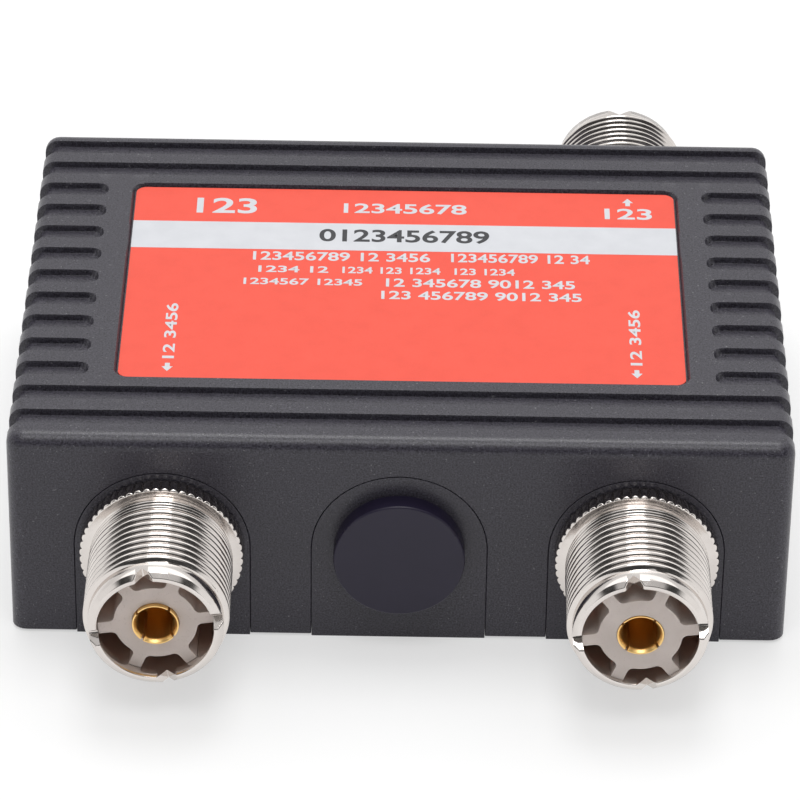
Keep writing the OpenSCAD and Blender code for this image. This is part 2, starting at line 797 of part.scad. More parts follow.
top_cover();
base_plate();
label();
blanking_plug();
cover_screws();
at_front(-port_x) port_shell(front_turn);  // left_port_shell
at_front(-port_x) port_insulator(front_turn, left_hub_set);  // left_port_insulator
at_front(-port_x) port_contact(front_turn, left_tip);  // left_port_contact
at_front(-port_x) port_washer();  // left_port_washer
at_front(-port_x) port_nut();  // left_port_nut
port_lead(-port_x, -1, front_port_z);  // left_port_lead
at_front(port_x) port_shell(front_turn);  // right_port_shell
at_front(port_x) port_insulator(front_turn, hub_set);  // right_port_insulator
at_front(port_x) port_contact(front_turn, other_tip);  // right_port_contact
at_front(port_x) port_washer();  // right_port_washer
at_front(port_x) port_nut();  // right_port_nut
port_lead(port_x, -1, front_port_z);  // right_port_lead
at_rear() port_shell(rear_turn);  // rear_port_shell
at_rear() port_insulator(rear_turn, hub_set);  // rear_port_insulator
at_rear() port_contact(rear_turn, other_tip);  // rear_port_contact
at_rear() port_washer();  // rear_port_washer
at_rear() port_nut();  // rear_port_nut
port_lead(port_x, 1, rear_port_z);  // rear_port_lead
circuit_board();
board_screws();
shield_wall();
low_pass_coils();
high_pass_coils();
low_pass_capacitors();
high_pass_capacitors();
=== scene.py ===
"""Antenna duplexer: a ribbed die-cast case with three coaxial ports and a printed label.

Lengths in the classes are millimetres. A mesh turns into metres when it becomes an object.
"""

import json
import logging
import math
from dataclasses import dataclass, field
from enum import Enum
from typing import Iterable, Optional, Sequence

import bmesh
import bpy
from bmesh.types import BMEdge, BMesh, BMVert
from mathutils import Matrix, Vector

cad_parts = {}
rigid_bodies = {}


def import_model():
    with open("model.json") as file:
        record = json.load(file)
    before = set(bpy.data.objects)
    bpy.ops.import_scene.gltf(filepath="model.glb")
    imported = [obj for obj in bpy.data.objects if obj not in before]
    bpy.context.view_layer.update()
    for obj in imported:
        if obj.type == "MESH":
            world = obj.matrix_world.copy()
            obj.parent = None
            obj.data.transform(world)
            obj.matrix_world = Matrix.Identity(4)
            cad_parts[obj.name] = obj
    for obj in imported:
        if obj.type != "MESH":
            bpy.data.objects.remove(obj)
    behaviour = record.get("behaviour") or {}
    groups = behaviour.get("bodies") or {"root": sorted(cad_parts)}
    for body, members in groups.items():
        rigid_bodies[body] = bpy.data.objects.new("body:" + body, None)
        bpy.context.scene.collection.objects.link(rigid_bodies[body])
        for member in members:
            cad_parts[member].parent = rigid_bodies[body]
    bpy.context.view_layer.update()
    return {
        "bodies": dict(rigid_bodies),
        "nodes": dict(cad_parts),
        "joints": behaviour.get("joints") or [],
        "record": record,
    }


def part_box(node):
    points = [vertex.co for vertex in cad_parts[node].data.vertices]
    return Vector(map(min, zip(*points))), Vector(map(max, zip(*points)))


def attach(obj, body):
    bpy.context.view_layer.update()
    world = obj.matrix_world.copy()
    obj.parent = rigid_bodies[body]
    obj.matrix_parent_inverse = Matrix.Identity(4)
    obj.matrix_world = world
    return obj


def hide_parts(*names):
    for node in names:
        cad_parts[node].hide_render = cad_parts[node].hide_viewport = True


LOG = logging.getLogger("duplexer")
MM = 0.001
BODY = "root"
NOISE_LOW, NOISE_HIGH = 0.3, 0.7
CLOSE = 1e-4
Colour = tuple[float, float, float]
Point = tuple[float, float]
Socket = bpy.types.NodeSocket


class Slot(Enum):
    """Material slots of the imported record."""

    CASE = "case_coat"
    LABEL = "label_film"
    PLUG = "plug_plastic"
    SCREW = "black_steel"
    NICKEL = "nickel"
    INSULATOR = "insulator"
    GILT = "gilt"


class Side(Enum):
    """The three ports, by the place that names their nodes."""

    LEFT = "left"
    RIGHT = "right"
    REAR = "rear"


# Shader helpers

class NodeSheet:
    """Node tree of a material or of the world, with short calls that add and link its nodes."""

    def __init__(self, tree: bpy.types.NodeTree) -> None:
        """Takes over a tree."""
        self.tree = tree

    def add(self, kind: str) -> bpy.types.Node:
        """Adds a node of the given kind."""
        return self.tree.nodes.new(kind)

    def feed(self, entry: Socket, value: object) -> None:
        """Links an output to an input, or sets the input to a plain value.

        Args:
            entry: Input to feed.
            value: An output, or a value for the input.
        """
        if isinstance(value, Socket):
            self.tree.links.new(value, entry)
        else:
            entry.default_value = value

    def result(self, operation: str, *values: Socket) -> Socket:
        """Works out one value from others.

        Args:
            operation: Name of the operation.
            values: What it works on, in order.

        Returns:
            The result.
        """
        node = self.add("ShaderNodeMath")
        node.operation = operation
        for entry, value in zip(node.inputs, values):
            self.feed(entry, value)
        return node.outputs[0]

    def split(self, place: Socket) -> bpy.types.Node:
        """Adds a node that splits coordinates into X, Y and Z."""
        node = self.add("ShaderNodeSeparateXYZ")
        self.feed(node.inputs["Vector"], place)
        return node

    def spread(self, source: Socket, low: float, high: float, start: object, end: object,
               eased: bool = False) -> Socket:
        """Maps low to start and high to end, and holds both ends.

        Args:
            source: Value to map.
            low: Value that becomes start.
            high: Value that becomes end.
            start: Result at low, as a number or an output.
            end: Result at high, as a number or an output.
            eased: Whether the way between them starts and ends level.

        Returns:
            The mapped value.
        """
        node = self.add("ShaderNodeMapRange")
        if eased:
            node.interpolation_type = "SMOOTHSTEP"
        names = ("Value", "From Min", "From Max", "To Min", "To Max")
        for name, value in zip(names, (source, low, high, start, end)):
            self.feed(node.inputs[name], value)
        return node.outputs["Result"]


class ShaderSheet(NodeSheet):
    """Node tree of one material, with a principled shader that reads object coordinates."""

    def __init__(self, name: str) -> None:
        """Starts a material.

        Args:
            name: Name of the material.
        """
        self.material = bpy.data.materials.new(name)
        self.material.use_nodes = True
        super().__init__(self.material.node_tree)
        self.tree.nodes.clear()
        self.shader = self.add("ShaderNodeBsdfPrincipled")
        self.output = self.add("ShaderNodeOutputMaterial")
        self.feed(self.output.inputs["Surface"], self.shader.outputs["BSDF"])
        self.place = self.add("ShaderNodeTexCoord").outputs["Object"]

    def set(self, **values: object) -> None:
        """Feeds the shader's own inputs; an underscore in a name stands for a space."""
        for name, value in values.items():
            self.feed(self.shader.inputs[name.replace("_", " ")], value)

    def stretched(self, *scale: float) -> Socket:
        """Object coordinates, scaled by different amounts along X, Y and Z."""
        mapping = self.add("ShaderNodeMapping")
        self.feed(mapping.inputs["Scale"], scale)
        self.feed(mapping.inputs["Vector"], self.place)
        return mapping.outputs["Vector"]

    def noise(self, grain: float, detail: float = 2.0, place: Optional[Socket] = None) -> Socket:
        """Soft noise whose features are about as large as the grain.

        Args:
            grain: Size of a feature in millimetres.
            detail: Octaves of finer noise on top.
            place: Coordinates to read, if not the object's own.

        Returns:
            The noise, from 0 to 1.
        """
        node = self.add("ShaderNodeTexNoise")
        self.feed(node.inputs["Scale"], 1.0 / (grain * MM))
        self.feed(node.inputs["Detail"], detail)
        self.feed(node.inputs["Vector"], place or self.place)
        return node.outputs[0]

    def varied(self, noise: Socket, start: float, end: float) -> Socket:
        """Maps the usual range of soft noise to a range from start to end."""
        return self.spread(noise, NOISE_LOW, NOISE_HIGH, start, end)

    def blend(self, share: Socket, first: object, second: object) -> Socket:
        """Mixes two colours.

        Args:
            share: Share of the second colour.
            first: A colour, or an output that gives one.
            second: A colour, or an output that gives one.

        Returns:
            The mixed colour.
        """
        node = self.add("ShaderNodeMix")
        node.data_type = "RGBA"
        self.feed(node.inputs[0], share)
        for entry, value in ((node.inputs[6], first), (node.inputs[7], second)):
            self.feed(entry, (*value, 1.0) if isinstance(value, tuple) else value)
        return node.outputs[2]

    def bump(self, height: Socket, depth: float) -> None:
        """Adds relief to the surface.

        Args:
            height: Height, from 0 to 1.
            depth: Height of the relief in millimetres.
        """
        node = self.add("ShaderNodeBump")
        self.feed(node.inputs["Distance"], depth * MM)
        self.feed(node.inputs["Height"], height)
        self.set(Normal=node.outputs["Normal"])


# Finishes

class Finish:
    """Surface finish, made once and shared by its pieces."""

    name: str

    def build(self, sheet: ShaderSheet) -> None:
        """Adds the finish's nodes to a new sheet."""
        raise NotImplementedError

    def material(self) -> bpy.types.Material:
        """The finish as a material, made at the first call."""
        full_name = f"{self.name}_finish"
        known = bpy.data.materials.get(full_name)
        if known is None:
            sheet = ShaderSheet(full_name)
            self.build(sheet)
            known = sheet.material
        return known


@dataclass(frozen=True)
class PowderCoat(Finish):
    """Dark pebbled powder coat with a few pale flecks."""

    name: str = "powder_coat"
    dark: Colour = (0.011, 0.0095, 0.0145)
    pale: Colour = (0.063, 0.059, 0.076)
    fleck: Colour = (0.17, 0.17, 0.18)
    gloss: float = 0.42
    roughness: Point = (0.36, 0.26)
    pebble: float = 0.24
    pebble_depth: float = 0.018
    mottle: float = 0.192
    mottle_share: Point = (0.78, 0.96)
    cloud: float = 6.0
    cloud_share: Point = (0.42, 0.58)
    fleck_grain: float = 0.3
    fleck_share: float = 0.8

    def build(self, sheet: ShaderSheet) -> None:
        """Adds a fine mottle, clouds, flecks, uneven gloss and pebbles."""
        pebbles = sheet.noise(self.pebble, 2.5)
        mottle = sheet.spread(sheet.noise(self.mottle), 0.34, 0.66, 0.0, 1.0)
        cloud = sheet.spread(sheet.noise(self.cloud, 4.0), 0.35, 0.65, *self.cloud_share)
        flecks = sheet.spread(sheet.noise(self.fleck_grain, 1.0), 0.70, 0.78, 0.0, self.fleck_share)
        evened = sheet.blend(cloud, self.dark, self.pale)
        speckled = sheet.blend(mottle, self.dark, self.pale)
        mottled = sheet.spread(cloud, *self.cloud_share, *self.mottle_share)
        coat = sheet.blend(flecks, sheet.blend(mottled, evened, speckled), self.fleck)
        sheet.set(Base_Color=coat, Specular_IOR_Level=self.gloss,
                  Roughness=sheet.varied(pebbles, *self.roughness))
        sheet.bump(pebbles, self.pebble_depth)


@dataclass(frozen=True)
class MottledFinish(Finish):
    """Soft clouds of two tones under a grained skin, the common ground of metal, plastic and film."""

    name: str
    pale: Colour
    dark: Colour
    smooth: float
    rough: float
    grain: float = 0.25
    grain_depth: float = 0.006
    grain_detail: float = 2.0
    cloud_grains: float = 12.0
    cloud_detail: float = 3.0
    gloss: float = 0.5
    metallic: float = 0.0

    def tone(self, sheet: ShaderSheet) -> Socket:
        """Clouds of the pale and the dark tone."""
        cloud = sheet.noise(self.grain * self.cloud_grains, self.cloud_detail)
        return sheet.blend(sheet.varied(cloud, 0.0, 1.0), self.pale, self.dark)

    def build(self, sheet: ShaderSheet) -> None:
        """Adds the tones, uneven gloss and the skin's grain."""
        grain = sheet.noise(self.grain, self.grain_detail)
        sheet.set(Base_Color=self.tone(sheet), Roughness=sheet.varied(grain, self.smooth, self.rough),
                  Specular_IOR_Level=self.gloss, Metallic=self.metallic)
        sheet.bump(grain, self.grain_depth)


@dataclass(frozen=True)
class PlatedMetal(MottledFinish):
    """Bright or satin plating with fine streaks and spots."""

    grain: float = 0.7
    grain_depth: float = 0.003
    grain_detail: float = 3.0
    cloud_grains: float = 6.0
    metallic: float = 1.0


@dataclass(frozen=True)
class PrintedFilm(MottledFinish):
    """Ink on the label, or the label's own coloured film."""

    smooth: float = 0.42
    rough: float = 0.56
    grain: float = 0.12
    grain_depth: float = 0.004
    cloud_grains: float = 20.0
    gloss: float = 0.35


@dataclass(frozen=True)
class MouldedPlastic(MottledFinish):
    """Moulded plastic, solid to milky, that may have a paler, warmer tone painted deep inside a port as
    painted light against the shade there.
    """

    milky: float = 0.0
    scatter: Colour = (1.0, 0.9, 0.8)
    # deep is painted light: a paler, warmer colour deep inside a port that offsets the shade falling there;
    # painted_light_from and painted_light_to are where it starts and where it is full, as distances from the
    # middle of the case.
    deep: Optional[Colour] = None
    painted_light_from: float = 0.0
    painted_light_to: float = 0.0

    def tone(self, sheet: ShaderSheet) -> Socket:
        """The clouds, with a paler, warmer tone painted deep in a port by distance from the middle of the
        case: painted light that offsets the shade there.
        """
        tone = super().tone(sheet)
        if self.deep is None:
            return tone
        # Painted light: the colour turns paler and warmer deeper inside the port, to offset the shade there.
        off = sheet.result("ABSOLUTE", sheet.split(sheet.place).outputs["Y"])
        painted_light_share = sheet.spread(off, self.painted_light_from * MM, self.painted_light_to * MM, 0.0, 1.0)
        return sheet.blend(painted_light_share, tone, self.deep)

    def build(self, sheet: ShaderSheet) -> None:
        """Adds light that scatters inside to the common nodes."""
        super().build(sheet)
        if self.milky > 0.0:
            sheet.set(Subsurface_Weight=self.milky, Subsurface_Radius=self.scatter, Subsurface_Scale=MM)


@dataclass(frozen=True)
class BoardLaminate(Finish):
    """Green solder mask over the weave of a glass laminate."""

    name: str = "board_laminate"
    pale: Colour = (0.030, 0.150, 0.060)
    dark: Colour = (0.012, 0.080, 0.032)
    weave: float = 0.6
    weave_depth: float = 0.01
    stretch: float = 0.1
    roughness: Point = (0.22, 0.34)

    def build(self, sheet: ShaderSheet) -> None:
        """Adds the two directions of the weave under a glossy mask."""
        across = sheet.noise(self.weave, 1.0, sheet.stretched(1.0, self.stretch, 1.0))
        along = sheet.noise(self.weave, 1.0, sheet.stretched(self.stretch, 1.0, 1.0))
        cloth = self.pale
        for threads in (along, across):
            cloth = sheet.blend(sheet.spread(threads, 0.4, 0.6, 0.0, 1.0), cloth, self.dark)
        sheet.set(Base_Color=cloth, Roughness=sheet.varied(along, *self.roughness))
        sheet.bump(across, self.weave_depth)


CASE_COAT = PowderCoat()
NICKEL = PlatedMetal("bright_nickel", (0.735, 0.69, 0.655), (0.665, 0.62, 0.59), 0.10, 0.18,
                     grain_depth=0.0008)
GILT = PlatedMetal("gilt_brass", (1.0, 0.69, 0.29), (0.96, 0.62, 0.23), 0.32, 0.40, grain=2.0)
ZINC = PlatedMetal("zinc_plate", (0.62, 0.63, 0.65), (0.50, 0.51, 0.54), 0.24, 0.38)
COPPER = PlatedMetal("copper_wire", (0.80, 0.38, 0.21), (0.66, 0.28, 0.14), 0.20, 0.32)
BLACK_STEEL = PlatedMetal("black_steel", (0.075, 0.075, 0.08), (0.045, 0.045, 0.05), 0.28, 0.42)
PLUG_PLASTIC = MouldedPlastic("plug_plastic", (0.016, 0.0122, 0.030), (0.014, 0.0108, 0.027), 0.30, 0.38,
                              gloss=0.34)
# The insulator's deep colour is painted light, paler and warmer inside each port where shade falls.
INSULATOR = MouldedPlastic("milky_insulator", (0.565, 0.495, 0.46), (0.50, 0.435, 0.40), 0.26, 0.38,
                           milky=0.35, deep=(0.84, 0.64, 0.55), painted_light_from=47.0, painted_light_to=44.5)
CAPACITOR = MouldedPlastic("ceramic_coat", (0.42, 0.17, 0.055), (0.30, 0.11, 0.035), 0.32, 0.48)
BOARD = BoardLaminate()
RED_FILM = PrintedFilm("red_film", (0.82, 0.085, 0.050), (0.78, 0.078, 0.045))
WHITE_INK = PrintedFilm("white_ink", (0.62, 0.63, 0.66), (0.58, 0.59, 0.62))
DARK_INK = PrintedFilm("dark_ink", (0.045, 0.045, 0.050), (0.030, 0.030, 0.034))


# Mesh helpers, in millimetres

def node_box(node: str) -> tuple[Vector, Vector]:
    """Lowest and highest corner of a frame node.

    Args:
        node: Name of the node.

    Returns:
        Both corners in millimetres.
    """
    low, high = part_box(node)
    return Vector(low) / MM, Vector(high) / MM


def smooth_step(value: float) -> float:
    """Eases a value from 0 to 1 with a level start and end."""
    share = min(max(value, 0.0), 1.0)
    return share * share * (3.0 - 2.0 * share)


def held(value: float, limit: float) -> float:
    """Holds a value between minus and plus a limit."""
    return min(max(value, -limit), limit)


def run(start: float, step: float, count: int) -> list[float]:
    """Evenly spaced stations from a start."""
    return [start + step * k for k in range(count)]


def spaced(values: Iterable[float], least: float = 0.05) -> list[float]:
    """Sorts stations and drops those that crowd the one before.

    Args:
        values: Stations in any order.
        least: Least distance that is kept.

    Returns:
        The stations that are left.
    """
    kept: list[float] = []
    for value in sorted(values):
        if not kept or value - kept[-1] > least:
            kept.append(value)
    return kept


def chain(bm: BMesh, points: Sequence[Point], closed: bool = True) -> list[BMEdge]:
    """Lays a half section of radius and height in the XZ plane.

    Args:
        bm: Mesh that takes the section.
        points: Radius and height of each point.
        closed: Whether the last point joins the first.

    Returns:
        The section's edges, in order.
    """
    verts = [bm.verts.new((radius, 0.0, height)) for radius, height in points]
    pairs = list(zip(verts, verts[1:]))
    if closed:
        pairs.append((verts[-1], verts[0]))
    return [bm.edges.new(pair) for pair in pairs]


def lathe(bm: BMesh, edges: Sequence[BMEdge], steps: int) -> None:
    """Spins a half section once round Z and closes the seam.

    Args:
        bm: Mesh that holds the section.
        edges: The section's edges.
        steps: Steps of the full turn.
    """
    verts = list({vert for edge in edges for vert in edge.verts})
    bmesh.ops.spin(bm, geom=[*verts, *edges], cent=(0, 0, 0), axis=(0, 0, 1), angle=2 * math.pi, steps=steps,
                   use_merge=True)
    bmesh.ops.remove_doubles(bm, verts=bm.verts, dist=1e-5)
    bmesh.ops.recalc_face_normals(bm, faces=bm.faces)


def soften(bm: BMesh, parts: Sequence[BMEdge | BMVert], radius: float, segments: int, affect: str = "EDGES",
           clamp: bool = True) -> None:
    """Rounds edges or corners with an even bevel.

    Args:
        bm: Mesh that holds them.
        parts: Edges or corner points to round.
        radius: Width of the bevel.
        segments: Faces across the bevel.
        affect: EDGES or VERTICES.
        clamp: Whether a bevel stops where it meets another.
    """
    bmesh.ops.bevel(bm, geom=list(parts), offset=radius, offset_type="OFFSET", segments=segments, profile=0.5,
                    affect=affect, clamp_overlap=clamp, material=-1)


def points_of(parts: Iterable[object]) -> list[BMVert]:
    """The points among an operator's results."""
    return [part for part in parts if isinstance(part, BMVert)]


def pull(bm: BMesh, edges: Sequence[BMEdge]) -> tuple[list[BMVert], list[BMEdge]]:
    """Extrudes edges in place.

    Args:
        bm: Mesh that holds the edges.
        edges: Edges to extrude.

    Returns:
        The new points and the new edges.
    """
    parts = bmesh.ops.extrude_edge_only(bm, edges=edges)["geom"]
    return points_of(parts), [part for part in parts if isinstance(part, BMEdge)]


def thicken(bm: BMesh, height: float) -> list[BMVert]:
    """Raises flat faces into closed layers.

    Args:
        bm: Mesh of flat faces.
        height: Thickness of the layer.

    Returns:
        The raised points.
    """
    raised = points_of(bmesh.ops.extrude_face_region(bm, geom=list(bm.faces), use_keep_orig=True)["geom"])
    bmesh.ops.translate(bm, vec=(0, 0, height), verts=raised)
    bmesh.ops.recalc_face_normals(bm, faces=bm.faces)
    return raised


def repeat(bm: BMesh, places: Sequence[Vector]) -> None:
    """Moves a mesh to the first of several places and copies it to the others.

    Args:
        bm: Mesh that was made at the origin.
        places: Where it goes.
    """
    single = [*bm.verts, *bm.edges, *bm.faces]
    for place in places[1:]:
        copy = bmesh.ops.duplicate(bm, geom=single)["geom"]
        bmesh.ops.translate(bm, vec=place, verts=points_of(copy))
    bmesh.ops.translate(bm, vec=places[0], verts=points_of(single))


def sharp_edges(bm: BMesh, angle: float) -> list[BMEdge]:
    """Edges whose two faces turn by more than an angle, in degrees."""
    limit = math.radians(angle)
    return [edge for edge in bm.edges if len(edge.link_faces) == 2 and edge.calc_face_angle(0.0) > limit]


def make_object(bm: BMesh, name: str) -> bpy.types.Object:
    """Turns a mesh in millimetres into an object in metres, at the origin.

    Args:
        bm: Mesh, which is freed.
        name: Name of the object.

    Returns:
        The object, linked to the scene.
    """
    bmesh.ops.scale(bm, vec=(MM, MM, MM), verts=bm.verts)
    mesh = bpy.data.meshes.new(name)
    bm.to_mesh(mesh)
    bm.free()
    piece = bpy.data.objects.new(name, mesh)
    bpy.context.scene.collection.objects.link(piece)
    return piece


def carve(piece: bpy.types.Object, cutter: bpy.types.Object) -> None:
    """Cuts one object out of another and keeps the result as its plain mesh.

    Args:
        piece: Object that is cut.
        cutter: Object that is cut away, and then deleted.
    """
    cut = piece.modifiers.new("carve", "BOOLEAN")
    cut.operation = "DIFFERENCE"
    cut.solver = "EXACT"
    cut.object = cutter
    shown = piece.evaluated_get(bpy.context.evaluated_depsgraph_get())
    shaped = bpy.data.meshes.new_from_object(shown)
    piece.modifiers.clear()
    piece.data = shaped
    bpy.data.objects.remove(cutter)


def crease(mesh: bpy.types.Mesh, angle: float) -> None:
    """Shades a mesh smooth and keeps edges sharper than an angle.

    Args:
        mesh: Mesh to shade.
        angle: Least turn of a sharp edge, in degrees.
    """
    bm = bmesh.new()
    bm.from_mesh(mesh)
    for face in bm.faces:
        face.smooth = True
    limit = math.radians(angle)
    for edge in bm.edges:
        edge.smooth = len(edge.link_faces) == 2 and edge.calc_face_angle(0.0) < limit
    bm.to_mesh(mesh)
    bm.free()


def add_piece(bm: BMesh, name: str, finish: Finish, stands_for: str = "",
              cutter: Optional[BMesh] = None, angle: float = 38.0) -> None:
    """Makes a piece of a mesh, shades and paints it and hangs it in the frame.

    Args:
        bm: Mesh in millimetres, which is freed.
        name: Name of the piece.
        finish: Its finish.
        stands_for: Frame node that it replaces, if any.
        cutter: Mesh that is cut out of it and freed.
        angle: Least turn of an edge that stays sharp, in degrees.
    """
    piece = make_object(bm, name)
    if cutter is not None:
        carve(piece, make_object(cutter, "cutter"))
    crease(piece.data, angle)
    piece.data.materials.clear()
    piece.data.materials.append(finish.material())
    even = piece.modifiers.new("even_normals", "WEIGHTED_NORMAL")
    even.keep_sharp = True
    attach(piece, BODY)
    if stands_for:
        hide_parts(stands_for)
    LOG.info("%s: %d faces, %s", piece.name, len(piece.data.polygons), finish.name)


def add_copy(frame: dict, node: str, name: str, finish: Finish, radius: float) -> None:
    """Adds a frame node's own form as a piece, merged and with its sharp edges rounded.

    Args:
        frame: The loaded frame.
        node: Name of the node, which the piece replaces.
        name: Name of the piece.
        finish: Its finish.
        radius: Width of the rounding.
    """
    bm = bmesh.new()
    bm.from_mesh(frame["nodes"][node].data)
    bmesh.ops.scale(bm, vec=(1 / MM, 1 / MM, 1 / MM), verts=bm.verts)
    bmesh.ops.remove_doubles(bm, verts=bm.verts, dist=0.002)
    bmesh.ops.dissolve_limit(bm, angle_limit=math.radians(0.5), verts=bm.verts, edges=bm.edges,
                             use_dissolve_boundaries=False)
    soften(bm, sharp_edges(bm, 40.0), radius, 2)
    add_piece(bm, name, finish, node)


# Sub-assemblies

@dataclass
class PortPlace:
    """Where a port or the plug sits: its axis and the direction that it points."""

    x: float
    face_y: float
    z: float
    points_back: bool = False

    def matrix(self) -> Matrix:
        """Turns a piece's own Z into the direction out of the case, and moves it there."""
        about = Matrix.Rotation(math.pi if self.points_back else 0.0, 4, "Z")
        outward = about @ Matrix.Rotation(math.pi / 2, 4, "X")
        return Matrix.Translation((self.x, self.face_y, self.z)) @ outward


@dataclass
class CaseCover:
    """Ribbed shell with a label pocket on top and arched slots in its walls."""

    width: float
    depth: float
    top: float
    foot: float
    places: Sequence[PortPlace]
    edge_r: float = 1.7
    edge_steps: int = 6
    wall: float = 2.2
    roof: float = 2.4
    groove_count: int = 13
    full_grooves: int = 2
    groove_pitch: float = 4.79
    groove_w: float = 2.5
    groove_depth: float = 0.7
    groove_soft: float = 0.12
    slot_start: float = 34.75
    pattern_y: float = 0.4
    pocket_w: float = 63.4
    pocket_d: float = 41.2
    pocket_r: float = 1.5
    pocket_sink: float = 0.5
    pocket_soft: float = 0.12
    arch_r: float = 9.63
    arch_flare: float = 0.1
    arch_deep: float = 3.05
    arch_steps: int = 96
    arch_over: float = 1.0
    arch_below: float = 2.0
    wide_lines: tuple[float, ...] = (0.0, 12.0, 22.0)
    edge_lines: tuple[float, ...] = (2.0, 0.3)
    rim_step: float = 0.15
    rim_lines: int = 13
    tip_lines: tuple[tuple[float, float, int], ...] = ((-0.3, 0.1, 8), (0.55, 0.2, 4))
    floor_lines: tuple[float, ...] = (0.0, 0.45, 0.8)
    flank_in: float = 0.15
    flank_step: float = 0.05
    flank_lines: int = 7

    @classmethod
    def from_frame(cls, places: Sequence[PortPlace]) -> "CaseCover":
        """Takes the overall sizes from the frame's cover."""
        low, high = node_box("top_cover")
        return cls(high.x - low.x, high.y - low.y, high.z, low.z, places)

    def groove_rows(self) -> list[float]:
        """Middle of each groove along Y, from front to rear."""
        first = self.pattern_y - self.groove_pitch * (self.groove_count - 1) / 2
        return [first + k * self.groove_pitch for k in range(self.groove_count)]

    def stations_x(self) -> list[float]:
        """Grid lines across the cover, close together at the pocket's rim and the short grooves' tips."""
        round_off = self.width / 2 - self.edge_r
        half = [*self.wide_lines, *(round_off - line for line in self.edge_lines), self.width / 2]
        half += run(self.pocket_w / 2 - self.pocket_r - self.rim_step, self.rim_step, self.rim_lines)
        for start, step, count in self.tip_lines:
            half += run(self.slot_start + start, step, count)
        return spaced([-x for x in half] + half)

    def stations_y(self) -> list[float]:
        """Grid lines from front to rear, close together at the grooves' rims and the pocket's ends."""
        flank = run(self.groove_w / 2 - self.flank_in, self.flank_step, self.flank_lines)
        steps = [*self.floor_lines, *flank]
        lines = [row + side * step for row in self.groove_rows() for step in steps for side in (-1, 1)]
        for side in (-1, 1):
            end = self.pattern_y + side * self.pocket_d / 2
            inner = run(self.pocket_r + self.rim_step, -self.rim_step, self.rim_lines)
            lines += [end - side * line for line in inner]
        return spaced([*lines, -self.depth / 2, self.depth / 2], 0.04)

    def groove_sink(self, x: float, y: float) -> float:
        """Depth of the grooves at a place.

        Args:
            x: Place across the cover.
            y: Place from front to rear.

        Returns:
            The depth, 0 on the ribs.
        """
        tip = self.slot_start + self.groove_w / 2
        inside = -self.groove_w
        for index, row in enumerate(self.groove_rows()):
            full = index < self.full_grooves or index >= self.groove_count - self.full_grooves
            short_of = 0.0 if full else max(tip - abs(x), 0.0)
            inside = max(inside, self.groove_w / 2 - math.hypot(short_of, y - row))
        return self.groove_depth * smooth_step(0.5 + inside / (2 * self.groove_soft))

    def pocket_depth(self, x: float, y: float) -> float:
        """Depth of the label pocket at a place.

        Args:
            x: Place across the cover.
            y: Place from front to rear.

        Returns:
            The depth, 0 outside the pocket.
        """
        over_x = abs(x) - (self.pocket_w / 2 - self.pocket_r)
        over_y = abs(y - self.pattern_y) - (self.pocket_d / 2 - self.pocket_r)
        past_core = math.hypot(max(over_x, 0.0), max(over_y, 0.0)) + min(max(over_x, over_y), 0.0)
        return self.pocket_sink * smooth_step(0.5 - (past_core - self.pocket_r) / (2 * self.pocket_soft))

    def outward(self, place: Vector) -> Vector:
        """Outward direction of the plain rounded box at a place on it."""
        half_x, half_y = self.width / 2 - self.edge_r, self.depth / 2 - self.edge_r
        core = (held(place.x, half_x), held(place.y, half_y), min(place.z, self.top - self.edge_r))
        return (place - Vector(core)).normalized()

    def rounded_box(self) -> BMesh:
        """Grid of the top with walls below it and rounded upright and top edges."""
        bm = bmesh.new()
        xs, ys = self.stations_x(), self.stations_y()
        bmesh.ops.create_grid(bm, x_segments=len(xs) - 1, y_segments=len(ys) - 1, size=1.0)
        for vert in bm.verts:
            column = round((vert.co.x + 1.0) / 2.0 * (len(xs) - 1))
            row = round((vert.co.y + 1.0) / 2.0 * (len(ys) - 1))
            vert.co = (xs[column], ys[row], self.top)
        lower, _ = pull(bm, [edge for edge in bm.edges if edge.is_boundary])
        bmesh.ops.translate(bm, vec=(0.0, 0.0, self.foot - self.top), verts=lower)
        bm.normal_update()
        soften(bm, sharp_edges(bm, 60.0), self.edge_r, self.edge_steps, clamp=False)
        return bm

    def press_pattern(self, bm: BMesh) -> None:
        """Sinks the grooves and the label pocket into the outer skin."""
        for vert in bm.verts:
            sink = self.groove_sink(vert.co.x, vert.co.y)
            if vert.co.z > self.top - MM:
                sink = max(sink, self.pocket_depth(vert.co.x, vert.co.y))
            if sink > 0.0:
                vert.co -= self.outward(vert.co) * sink

    def line_inside(self, bm: BMesh) -> None:
        """Adds the inner walls and the ceiling, so that the shell is closed."""
        ledge, edges = pull(bm, [edge for edge in bm.edges if edge.is_boundary])
        for vert in ledge:
            vert.co.x = held(vert.co.x, self.width / 2 - self.wall)
            vert.co.y = held(vert.co.y, self.depth / 2 - self.wall)
        inner, _ = pull(bm, edges)
        bmesh.ops.translate(bm, vec=(0.0, 0.0, self.top - self.roof - self.foot), verts=inner)
        bmesh.ops.remove_doubles(bm, verts=bm.verts, dist=CLOSE)
        bmesh.ops.holes_fill(bm, edges=[edge for edge in bm.edges if edge.is_boundary], sides=0)
        bmesh.ops.recalc_face_normals(bm, faces=bm.faces)

